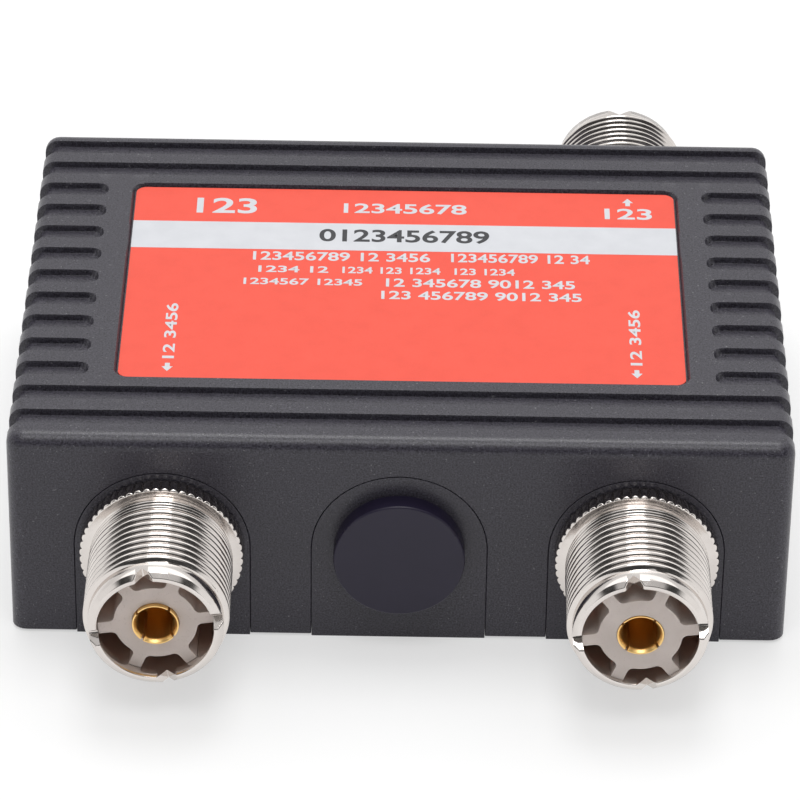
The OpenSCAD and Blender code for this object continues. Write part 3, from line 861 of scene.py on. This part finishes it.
    def arch_cutter(self) -> BMesh:
        """Arched prisms that cut the wall slots, each with a flared mouth."""
        bm = bmesh.new()
        mouth = self.arch_r + self.arch_flare
        loops = ((-self.arch_over, mouth), (0.0, mouth), (self.arch_flare, self.arch_r),
                 (self.arch_deep, self.arch_r))
        for place in self.places:
            inward = -1.0 if place.points_back else 1.0
            verts = bmesh.ops.create_circle(bm, cap_ends=False, segments=self.arch_steps, radius=1.0)["verts"]
            for vert in verts:
                below = vert.co.y < -1e-6
                across = math.copysign(1.0, vert.co.x) if below and abs(vert.co.x) > 0.5 else vert.co.x
                high = self.foot - self.arch_below if below else place.z + vert.co.y * mouth
                vert.co = (place.x + across * mouth, place.face_y - inward * self.arch_over, high)
            edges = list({edge for vert in verts for edge in vert.link_edges})
            bmesh.ops.edgeloop_fill(bm, edges=edges)
            for (_, size), (deep, radius) in zip(loops, loops[1:]):
                verts, edges = pull(bm, edges)
                for vert in verts:
                    vert.co.x = place.x + (vert.co.x - place.x) * radius / size
                    vert.co.y = place.face_y + inward * deep
                    if vert.co.z > place.z:
                        vert.co.z = place.z + (vert.co.z - place.z) * radius / size
            bmesh.ops.edgeloop_fill(bm, edges=edges)
        bmesh.ops.remove_doubles(bm, verts=bm.verts, dist=CLOSE)
        bmesh.ops.recalc_face_normals(bm, faces=bm.faces)
        return bm

    def build(self) -> None:
        """Builds the cover and hangs it in the frame."""
        bm = self.rounded_box()
        self.press_pattern(bm)
        self.line_inside(bm)
        add_piece(bm, "ribbed_cover", CASE_COAT, "top_cover", self.arch_cutter())


@dataclass
class CoaxialPort:
    """Threaded socket: knurled shell, milky insulator and split gilt contact."""

    side: Side
    place: PortPlace
    reach: float
    shank_end: float
    flange_r: float
    turn: float
    steps: int = 392
    flange_t: float = 2.1
    knurl_teeth: int = 56
    knurl_depth: float = 0.3
    knurl_round: float = 2.6
    knurl_gap: float = 0.05
    knurl_sharp: float = 46.0
    flange_edge: float = 0.28
    bevel_steps: int = 6
    thread_r: float = 7.9
    thread_depth: float = 0.62
    thread_pitch: float = 1.058
    crest_r: float = 0.38
    flank: float = 60.0
    samples: int = 19
    seam_slope: float = 11.0
    seam_room: float = 1.2
    thread_fade: float = 0.25
    fade_gap: float = 0.08
    last_crest: float = 12.8
    runout_end: float = 3.84
    runout_low: float = 0.05
    runout_depth: float = 0.26
    runout_crest_r: float = 0.14
    runout_blend: float = 0.3
    land_r: float = 7.3
    land_l: float = 2.1
    land_step: float = 0.12
    cone_l: float = 0.45
    cone_rows: int = 6
    rim_w: float = 0.55
    rim_edge: float = 0.06
    bore_r: float = 6.3
    socket_depth: float = 11.4
    tail_bore_r: float = 4.44
    shank_r: float = 6.3
    notch_w: float = 2.1
    notch_depth: float = 1.3
    notch_room: float = 0.3
    insulator_edge: float = 0.12
    contact_edge: float = 0.04

    @classmethod
    def from_frame(cls, side: Side, turn: float, **form: float) -> "CoaxialPort":
        """Takes the port's place and overall sizes from the frame.

        Args:
            side: Which port it is.
            turn: Turn of its notches, in degrees.
            form: Sizes that differ from the usual ones.

        Returns:
            The port.
        """
        low, high = node_box(f"{side.value}_port_shell")
        case_low, case_high = node_box("top_cover")
        back = side is Side.REAR
        face = case_high.y if back else case_low.y
        place = PortPlace((low.x + high.x) / 2, face, (low.z + high.z) / 2, back)
        reach = high.y - face if back else face - low.y
        inner = low.y - face if back else face - high.y
        return cls(side, place, reach, inner, (high.x - low.x) / 2, turn, **form)

    @property
    def thread_top(self) -> float:
        """Where the thread ends below the land."""
        return self.reach - self.land_l - self.land_step

    def section(self, bm: BMesh) -> list[BMEdge]:
        """Half section of the shell, with its thread stretch cut into short steps.

        Args:
            bm: Mesh that takes the section.

        Returns:
            The section's edges.
        """
        floor = self.reach - self.socket_depth
        notch_low = self.reach - self.notch_depth - self.notch_room
        rim_low = self.reach - self.rim_edge
        rim_r = self.bore_r + self.rim_w
        bevel = self.flange_edge
        waist = self.flange_r - self.knurl_depth - self.knurl_gap
        slope = [k / self.cone_rows for k in range(1, self.cone_rows + 1)]
        bends = [math.radians(90.0 - 90.0 / self.bevel_steps * k) for k in range(self.bevel_steps + 1)]
        points = [
            (self.tail_bore_r, self.shank_end), (self.tail_bore_r, floor), (self.bore_r, floor),
            (self.bore_r, notch_low), (self.bore_r, rim_low),
            (self.bore_r + self.rim_edge, self.reach), (rim_r - self.rim_edge, self.reach), (rim_r, rim_low),
            *((rim_r + s * (self.land_r - rim_r), rim_low - s * self.cone_l) for s in slope),
            (self.land_r, notch_low), (self.land_r, self.reach - self.land_l),
            (self.thread_r, self.thread_top), (self.thread_r, self.flange_t), (waist, self.flange_t),
            *((self.flange_r - bevel * (1.0 - math.cos(a)), self.flange_t - bevel * (1.0 - math.sin(a)))
              for a in bends),
            (self.flange_r, self.flange_t - bevel - self.rim_edge),
            (self.flange_r, bevel), (self.flange_r - bevel / 2, bevel / 2),
            (waist, 0.0), (self.shank_r, 0.0), (self.shank_r, self.shank_end),
        ]
        edges = chain(bm, points)
        thread = [edge for edge in edges if all(abs(vert.co.x - self.thread_r) < 1e-6 for vert in edge.verts)]
        cuts = round((self.thread_top - self.flange_t) / self.thread_pitch * self.samples)
        bmesh.ops.subdivide_edges(bm, edges=thread, cuts=cuts)
        return list(bm.edges)

    def turn_from_top(self, angle: float) -> float:
        """Share of a turn from the barrel's top, from -0.5 to 0.5."""
        return ((angle + math.pi / 2) % (2 * math.pi) - math.pi) / (2 * math.pi)

    def along_thread(self, angle: float, height: float) -> float:
        """Height of a mesh ring at an angle, so that rings follow the thread and join again underneath.

        Args:
            angle: Angle round the barrel, in radians.
            height: The ring's own height.

        Returns:
            The height that follows the thread.
        """
        turn = self.turn_from_top(angle)
        lead = min(abs(turn), self.seam_slope * (0.5 - abs(turn)))
        room = min(height - self.flange_t, self.thread_top - height) / (self.seam_room * self.thread_pitch)
        return height + self.thread_pitch * math.copysign(lead, turn) * min(max(room, 0.0), 1.0)

    def ridge_sink(self, off: float, round_r: float, depth: float) -> float:
        """Depth of a ridge with a round crest, straight flanks and a flat root.

        Args:
            off: Distance from the crest along the barrel.
            round_r: Radius of the crest.
            depth: Depth of the root.

        Returns:
            The depth below the crest.
        """
        tilt = math.radians(self.flank)
        knee = round_r * math.sin(tilt)
        if off < knee:
            return round_r - math.sqrt(round_r ** 2 - off ** 2)
        return min(round_r * (1.0 - math.cos(tilt)) + (off - knee) * math.tan(tilt), depth)

    def thread_sink(self, angle: float, height: float, ring: float) -> float:
        """Depth of the barrel below the thread's crests.

        Args:
            angle: Angle round the barrel, in radians.
            height: Height along the barrel.
            ring: Height of the mesh ring before it followed the thread.

        Returns:
            The depth at that place.
        """
        turns = (height - self.last_crest) / self.thread_pitch - self.turn_from_top(angle)
        coarse = abs((turns + 0.5) % 1.0 - 0.5) * self.thread_pitch
        step = (2.0 * (self.runout_end - ring) / self.thread_pitch) % 1.0
        fine = abs(step - 0.5) * self.thread_pitch / 2
        faded = 1.0 - smooth_step((self.reach - self.land_l - self.fade_gap - height) / self.thread_fade)
        thread = max(self.ridge_sink(coarse, self.crest_r, self.thread_depth), self.thread_depth * faded)
        runout = self.runout_low + self.ridge_sink(fine, self.runout_crest_r, self.runout_depth)
        share = smooth_step((ring - self.runout_end + self.runout_blend / 2) / self.runout_blend)
        return runout + (thread - runout) * share

    def notch_height(self, angle: float, radius: float) -> float:
        """Highest point that the rim's four notches leave at a place.

        Args:
            angle: Angle round the rim, in radians.
            radius: Distance from the axis.

        Returns:
            The height along the axis.
        """
        quarter = math.pi / 2
        nearest = (angle - math.radians(self.turn) + quarter / 2) % quarter - quarter / 2
        across = abs(radius * math.sin(nearest))
        return self.reach - self.notch_depth * max(1.0 - across / (self.notch_w / 2), 0.0)

    def build_shell(self) -> None:
        """Spins the shell, then cuts its knurl, thread and notches by moving its points."""
        bm = bmesh.new()
        lathe(bm, self.section(bm), self.steps)
        for vert in bm.verts:
            radius, angle = math.hypot(vert.co.x, vert.co.y), math.atan2(vert.co.y, vert.co.x)
            new_radius, height = radius, vert.co.z
            if radius > self.flange_r - self.flange_edge - CLOSE:
                tooth = (angle * self.knurl_teeth / (2 * math.pi)) % 1.0
                valley = self.knurl_depth * abs(2.0 * tooth - 1.0) ** self.knurl_round
                new_radius = min(radius, self.flange_r - valley)
            elif abs(radius - self.thread_r) < CLOSE and height >= self.flange_t:
                ring, height = height, self.along_thread(angle, height)
                new_radius -= self.thread_sink(angle, height, ring)
            vert.co.x *= new_radius / radius
            vert.co.y *= new_radius / radius
            vert.co.z = min(height, self.notch_height(angle, radius))
        bmesh.ops.dissolve_degenerate(bm, dist=CLOSE, edges=bm.edges)
        bmesh.ops.transform(bm, matrix=self.place.matrix(), verts=bm.verts)
        add_piece(bm, f"{self.side.value}_barrel", NICKEL, f"{self.side.value}_port_shell",
                  angle=self.knurl_sharp)

    def build(self, frame: dict) -> None:
        """Builds the shell, the insulator and the contact.

        Args:
            frame: The loaded frame.
        """
        side = self.side.value
        self.build_shell()
        add_copy(frame, f"{side}_port_insulator", f"{side}_spider", INSULATOR,
                 self.insulator_edge)
        add_copy(frame, f"{side}_port_contact", f"{side}_socket", GILT, self.contact_edge)


@dataclass
class LabelSheet:
    """Red film with a white band, rows of plain numbers and arrows to the ports."""

    middle: Vector
    width: float
    depth: float
    film_low: float
    film_top: float
    port_x: float
    corner_r: float = 1.2
    corner_steps: int = 8
    film_edge: float = 0.04
    ink: float = 0.012
    band_low: float = 7.25
    band_high: float = 13.15
    weight: float = 0.02
    arrow_l: float = 1.65
    arrow_head: float = 0.95
    arrow_spread: float = 0.66
    arrow_half: float = 0.27
    front_arrow: float = 1.25
    front_number: float = 9.55
    front_size: Point = (11.4, 1.35)
    rear_arrow: float = 1.05
    rear_number: float = 4.5
    rear_size: Point = (5.5, 2.4)
    band_number: Point = (0.0, 10.5)
    band_size: Point = (19.6, 2.75)
    rows: tuple[tuple[str, float, float, float, float], ...] = (
        ("123", -24.2, -17.2, 16.75, 3.4), ("12345678", -7.1, 7.2, 16.6, 2.2),
        ("123456789 12 3456", -17.3, 3.0, 5.85, 1.9), ("123456789 12 34", 5.4, 21.3, 5.95, 1.9),
        ("1234 12", -16.6, -8.6, 3.0, 1.4), ("1234 123 1234", -7.0, 4.2, 3.0, 1.4),
        ("123 1234", 5.8, 12.7, 3.0, 1.4), ("1234567 12345", -18.2, -4.7, 0.35, 1.4),
        ("12 345678 9012 345", -2.0, 19.5, 0.45, 1.8), ("123 456789 9012 345", -2.5, 20.2, -2.2, 1.8),
    )

    @classmethod
    def from_frame(cls, port_x: float) -> "LabelSheet":
        """Takes the film's sizes from the frame's label.

        Args:
            port_x: Distance of the outer ports from the middle.

        Returns:
            The label.
        """
        low, high = node_box("label")
        return cls((low + high) / 2, high.x - low.x, high.y - low.y, low.z, high.z, port_x)

    def film(self) -> None:
        """Builds the red film with its round corners."""
        bm = bmesh.new()
        bmesh.ops.create_grid(bm, x_segments=1, y_segments=1, size=0.5)
        bmesh.ops.scale(bm, vec=(self.width, self.depth, 1.0), verts=bm.verts)
        bmesh.ops.translate(bm, vec=(self.middle.x, self.middle.y, self.film_low), verts=bm.verts)
        soften(bm, bm.verts, self.corner_r, self.corner_steps, "VERTICES")
        thicken(bm, self.film_top - self.film_low)
        rim = [edge for edge in bm.edges if all(vert.co.z > self.film_top - MM for vert in edge.verts)]
        soften(bm, rim, self.film_edge, 2)
        add_piece(bm, "label_film", RED_FILM, "label")

    def bar(self, bm: BMesh, low: Point, high: Point) -> None:
        """Adds a flat rectangle to a print.

        Args:
            bm: Mesh of the print.
            low: Corner nearest the front left.
            high: Corner nearest the rear right.
        """
        made = bmesh.ops.create_grid(bm, x_segments=1, y_segments=1, size=0.5)["verts"]
        bmesh.ops.scale(bm, vec=(high[0] - low[0], high[1] - low[1], 1.0), verts=made)
        middle = ((low[0] + high[0]) / 2, (low[1] + high[1]) / 2, self.film_top)
        bmesh.ops.translate(bm, vec=middle, verts=made)

    def arrow(self, bm: BMesh, tip: Point, direction: float) -> None:
        """Adds a short thick arrow along Y to a print.

        Args:
            bm: Mesh of the print.
            tip: Place of the arrow's point.
            direction: 1 for an arrow to the rear, -1 for one to the front.
        """
        x, y = tip
        root, neck = y - direction * self.arrow_l, y - direction * self.arrow_head
        wing = self.arrow_head * self.arrow_spread
        corners = ((x, y), (x + wing, neck), (x - wing, neck))
        bm.faces.new([bm.verts.new((*corner, self.film_top)) for corner in corners])
        self.bar(bm, (x - self.arrow_half, min(root, neck)), (x + self.arrow_half, max(root, neck)))

    def number(self, bm: BMesh, body: str, middle: Point, size: Point, turn: float = 0.0) -> None:
        """Adds plain digits to a print, fitted to a box.

        Args:
            bm: Mesh of the print.
            body: The digits.
            middle: Middle of the box.
            size: Length of the line and height of the digits.
            turn: Turn of the line, in degrees.
        """
        curve = bpy.data.curves.new("digits", "FONT")
        curve.body = body
        curve.offset = self.weight
        holder = bpy.data.objects.new("digits", curve)
        mesh = bpy.data.meshes.new_from_object(holder)
        bpy.data.objects.remove(holder)
        bpy.data.curves.remove(curve)
        before = set(bm.verts)
        bm.from_mesh(mesh)
        bpy.data.meshes.remove(mesh)
        fresh = [vert for vert in bm.verts if vert not in before]
        low = Vector((min(vert.co.x for vert in fresh), min(vert.co.y for vert in fresh), 0.0))
        high = Vector((max(vert.co.x for vert in fresh), max(vert.co.y for vert in fresh), 0.0))
        fit = Matrix.Diagonal((size[0] / (high.x - low.x), size[1] / (high.y - low.y), 1.0, 1.0))
        place = Matrix.Translation((*middle, self.film_top)) @ Matrix.Rotation(math.radians(turn), 4, "Z")
        bmesh.ops.transform(bm, matrix=place @ fit @ Matrix.Translation(-(low + high) / 2), verts=fresh)

    def white_print(self) -> None:
        """Builds the white arrows and the rows of numbers."""
        bm = bmesh.new()
        front = self.middle.y - self.depth / 2
        rear = self.middle.y + self.depth / 2
        for body, left, right, y, height in self.rows:
            self.number(bm, body, ((left + right) / 2, y), (right - left, height))
        for x in (-self.port_x, self.port_x):
            self.arrow(bm, (x, front + self.front_arrow), -1)
            self.number(bm, "12 3456", (x, front + self.front_number), self.front_size, 90.0)
        self.arrow(bm, (self.port_x, rear - self.rear_arrow), 1)
        self.number(bm, "123", (self.port_x, rear - self.rear_number), self.rear_size)
        thicken(bm, self.ink)
        add_piece(bm, "label_white_print", WHITE_INK)

    def band(self) -> None:
        """Builds the white band across the film."""
        bm = bmesh.new()
        edge = self.width / 2
        self.bar(bm, (-edge, self.band_low), (edge, self.band_high))
        thicken(bm, self.ink)
        add_piece(bm, "label_white_band", WHITE_INK)

    def dark_print(self) -> None:
        """Builds the dark digits on the white band."""
        bm = bmesh.new()
        self.number(bm, "0123456789", self.band_number, self.band_size)
        bmesh.ops.translate(bm, vec=(0, 0, self.ink), verts=bm.verts)
        thicken(bm, self.ink)
        add_piece(bm, "label_dark_print", DARK_INK)

    def build(self) -> None:
        """Builds the film and all that is printed on it."""
        self.film()
        self.band()
        self.white_print()
        self.dark_print()


@dataclass
class CoverScrews:
    """Countersunk screws with cross recesses, put in from below."""

    places: list[Vector]
    length: float
    head_r: float = 2.8
    shaft_r: float = 1.5
    edge: float = 0.12
    tip: float = 0.5
    steps: int = 48
    recess_r: float = 1.7
    recess_w: float = 0.65
    recess_deep: float = 1.0
    recess_over: float = 0.2
    recess_taper: float = 0.55

    @classmethod
    def from_frame(cls) -> "CoverScrews":
        """Finds the four screws at the corners of their node's box."""
        low, high = node_box("cover_screws")
        xs, ys = (low.x + cls.head_r, high.x - cls.head_r), (low.y + cls.head_r, high.y - cls.head_r)
        return cls([Vector((x, y, low.z)) for x in xs for y in ys], high.z - low.z)

    def recesses(self) -> BMesh:
        """Tapered crosses that are cut from the heads."""
        bm = bmesh.new()
        arm, half = self.recess_r, self.recess_w / 2
        corners, outline = [(half, half), (half, arm), (-half, arm)], []
        for _ in range(4):
            outline += [bm.verts.new((x, y, -self.recess_over)) for x, y in corners]
            corners = [(-y, x) for x, y in corners]
        bm.faces.new(outline)
        floor = thicken(bm, self.recess_over + self.recess_deep)
        bmesh.ops.scale(bm, vec=(self.recess_taper, self.recess_taper, 1.0), verts=floor)
        repeat(bm, self.places)
        return bm

    def build(self) -> None:
        """Builds the four screws as one group."""
        bm = bmesh.new()
        points = [(0.0, 0.0), (self.head_r - self.edge, 0.0), (self.head_r, self.edge),
                  (self.shaft_r, self.head_r - self.shaft_r), (self.shaft_r, self.length - self.tip),
                  (self.shaft_r - self.tip, self.length), (0.0, self.length)]
        lathe(bm, chain(bm, points, closed=False), self.steps)
        repeat(bm, self.places)
        add_piece(bm, "countersunk_screws", BLACK_STEEL, "cover_screws", self.recesses())


@dataclass
class InnerParts:
    """Pieces inside the closed case, which keep their frame meshes and get their finishes."""

    single: tuple[tuple[str, Finish], ...] = (
        ("circuit_board", BOARD), ("board_screws", ZINC), ("shield_wall", ZINC),
        ("low_pass_coils", COPPER), ("high_pass_coils", COPPER),
        ("low_pass_capacitors", CAPACITOR), ("high_pass_capacitors", CAPACITOR),
    )
    per_port: tuple[tuple[str, Finish], ...] = (("washer", ZINC), ("nut", NICKEL), ("lead", COPPER))

    def dress(self, frame: dict) -> None:
        """Gives each inner node its finish.

        Args:
            frame: The loaded frame.
        """
        ported = [(f"{side.value}_port_{part}", finish) for side in Side for part, finish in self.per_port]
        for node, finish in (*self.single, *ported):
            piece = frame["nodes"][node]
            if not piece.material_slots:
                piece.data.materials.append(None)
            for entry in piece.material_slots:
                entry.material = finish.material()
            LOG.info("%s: kept, %s", node, finish.name)


# Scene

@dataclass
class PhotoCamera:
    """Camera at the photograph's viewing angle, on a frame of 800 by 800 pixels."""

    image: float = 800.0
    focal: float = 4927.4
    elevation: float = 33.487
    yaw: float = -0.075
    roll: float = 0.855
    distance: float = 567.19
    aim: Vector = field(default_factory=lambda: Vector((0.0, 0.0, 12.5)))
    aim_pixel: Point = (402.05, 381.25)
    sensor: float = 36.0

    def build(self) -> None:
        """Places the camera so that the aimed point falls on its pixel."""
        up_angle, yaw, roll = (math.radians(a) for a in (self.elevation, self.yaw, self.roll))
        level = math.cos(up_angle)
        ahead = Vector((math.sin(yaw) * level, math.cos(yaw) * level, -math.sin(up_angle)))
        right = Vector((math.cos(yaw), -math.sin(yaw), 0.0))
        above = right.cross(ahead)
        side = right * math.cos(roll) + above * math.sin(roll)
        upward = above * math.cos(roll) - right * math.sin(roll)
        across = (self.aim_pixel[0] - self.image / 2) / self.focal
        down = (self.aim_pixel[1] - self.image / 2) / self.focal
        eye = (self.aim - (ahead + side * across - upward * down) * self.distance) * MM
        lens = bpy.data.cameras.new("photo_camera")
        lens.sensor_width = self.sensor
        lens.lens = self.focal / self.image * self.sensor
        lens.clip_start = 0.01
        camera = bpy.data.objects.new("photo_camera", lens)
        camera.matrix_world = Matrix((
            (side.x, upward.x, -ahead.x, eye.x),
            (side.y, upward.y, -ahead.y, eye.y),
            (side.z, upward.z, -ahead.z, eye.z),
            (0.0, 0.0, 0.0, 1.0),
        ))
        bpy.context.scene.collection.objects.link(camera)
        bpy.context.scene.camera = camera


@dataclass
class Studio:
    """Pale floor, a room that is white all round but dark towards the viewer, and two soft lamps above."""

    floor_span: float = 6000.0
    floor_gap: float = 0.02
    floor_white: float = 0.5
    floor_cloud: float = 300.0
    floor_rough: float = 0.9
    floor_tones: tuple[Colour, Colour] = ((0.93, 0.93, 0.93), (0.95, 0.95, 0.95))
    rear_low: float = 0.86
    rear_high: float = 1.6
    overhead: float = 0.9
    front_dark: float = 0.05
    front_high: float = 0.65
    sides: float = 1.0
    horizon: float = 1.0
    lamps: tuple[tuple[str, Colour, float, float], ...] = (
        ("top_lamp", (0.0, 233.0, 869.0), 330.0, 1.9),
        ("key_lamp", (0.0, -308.0, 846.0), 380.0, 1.5),
    )
    low_sides: Point = (0.72, 0.84)
    high_sides: Point = (0.46, 0.56)
    brow: Point = (0.58, 0.66)
    zenith: Point = (0.90, 0.95)
    turn_back: Point = (-0.1, 0.2)
    skyline: Point = (0.10, 0.17)

    def floor(self) -> None:
        """Lays the floor, which looks near white and still takes the shadow."""
        bm = bmesh.new()
        bmesh.ops.create_grid(bm, x_segments=1, y_segments=1, size=self.floor_span / 2)
        bmesh.ops.translate(bm, vec=(0, 0, -self.floor_gap), verts=bm.verts)
        floor = make_object(bm, "floor")
        sheet = ShaderSheet("pale_floor")
        paper = sheet.blend(sheet.noise(self.floor_cloud), *self.floor_tones)
        sheet.set(Base_Color=paper, Roughness=self.floor_rough, Specular_IOR_Level=0.0)
        path = sheet.add("ShaderNodeLightPath").outputs
        seen = path["Is Camera Ray"]
        for name in ("Is Glossy Ray", "Is Transmission Ray"):
            seen = sheet.result("MAXIMUM", seen, path[name])
        share = sheet.spread(seen, 0.0, 1.0, 0.0, self.floor_white)
        glow = sheet.add("ShaderNodeEmission").outputs[0]
        mix = sheet.add("ShaderNodeMixShader")
        for entry, value in zip(mix.inputs, (share, sheet.shader.outputs["BSDF"], glow)):
            sheet.feed(entry, value)
        sheet.feed(sheet.output.inputs["Surface"], mix.outputs[0])
        floor.data.materials.append(sheet.material)

    def surroundings(self) -> None:
        """Makes a room that is white behind, above and beside the case, and dark towards the viewer."""
        world = bpy.data.worlds.new("studio_room")
        world.use_nodes = True
        sheet = NodeSheet(world.node_tree)
        back = next(node for node in sheet.tree.nodes if node.type == "BACKGROUND")
        sheet.feed(back.inputs["Color"], (1.0, 1.0, 1.0, 1.0))
        axes = sheet.split(sheet.add("ShaderNodeTexCoord").outputs["Generated"]).outputs
        aside, up = sheet.result("ABSOLUTE", axes["X"]), axes["Z"]
        low_front = sheet.spread(aside, *self.low_sides, self.front_dark, self.sides, True)
        high_front = sheet.spread(aside, *self.high_sides, self.front_high, low_front, True)
        front = sheet.spread(up, *self.brow, low_front, high_front, True)
        rear = sheet.spread(up, *self.brow, self.rear_low, self.rear_high, True)
        walls = sheet.spread(axes["Y"], *self.turn_back, front, rear, True)
        room = sheet.spread(up, *self.zenith, walls, self.overhead, True)
        sheet.feed(back.inputs["Strength"], sheet.spread(up, *self.skyline, self.horizon, room, True))
        bpy.context.scene.world = world

    def lights(self) -> None:
        """Hangs the soft lamps, all turned to the middle of the case."""
        for name, place, size, power in self.lamps:
            lamp = bpy.data.lights.new(name, "AREA")
            lamp.size = size * MM
            lamp.energy = power
            holder = bpy.data.objects.new(name, lamp)
            holder.location = Vector(place) * MM
            holder.rotation_euler = (-holder.location).to_track_quat("-Z", "Y").to_euler()
            bpy.context.scene.collection.objects.link(holder)

    def build(self) -> None:
        """Builds the floor, the surroundings and the lamps, with plain colour handling."""
        bpy.context.scene.view_settings.view_transform = "Standard"
        self.floor()
        self.surroundings()
        self.lights()


BASE_EDGE = 0.16
PLUG_EDGE = 0.08


def main() -> None:
    """Loads the frame and builds every sub-assembly."""
    logging.basicConfig(level=logging.INFO, format="%(name)s: %(message)s")
    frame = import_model()
    PhotoCamera().build()
    Studio().build()
    left = CoaxialPort.from_frame(Side.LEFT, turn=10.5)
    right = CoaxialPort.from_frame(Side.RIGHT, turn=8.0)
    rear = CoaxialPort.from_frame(Side.REAR, turn=0.0, crest_r=0.2, notch_w=3.6, notch_depth=1.65)
    plug_place = PortPlace(0.0, left.place.face_y, left.place.z)
    CaseCover.from_frame([left.place, right.place, rear.place, plug_place]).build()
    add_copy(frame, "base_plate", "base_with_tongues", CASE_COAT, BASE_EDGE)
    add_copy(frame, "blanking_plug", "round_plug", PLUG_PLASTIC, PLUG_EDGE)
    for port in (left, right, rear):
        port.build(frame)
    LabelSheet.from_frame(right.place.x).build()
    CoverScrews.from_frame().build()
    InnerParts().dress(frame)


if __name__ == "__main__":
    main()
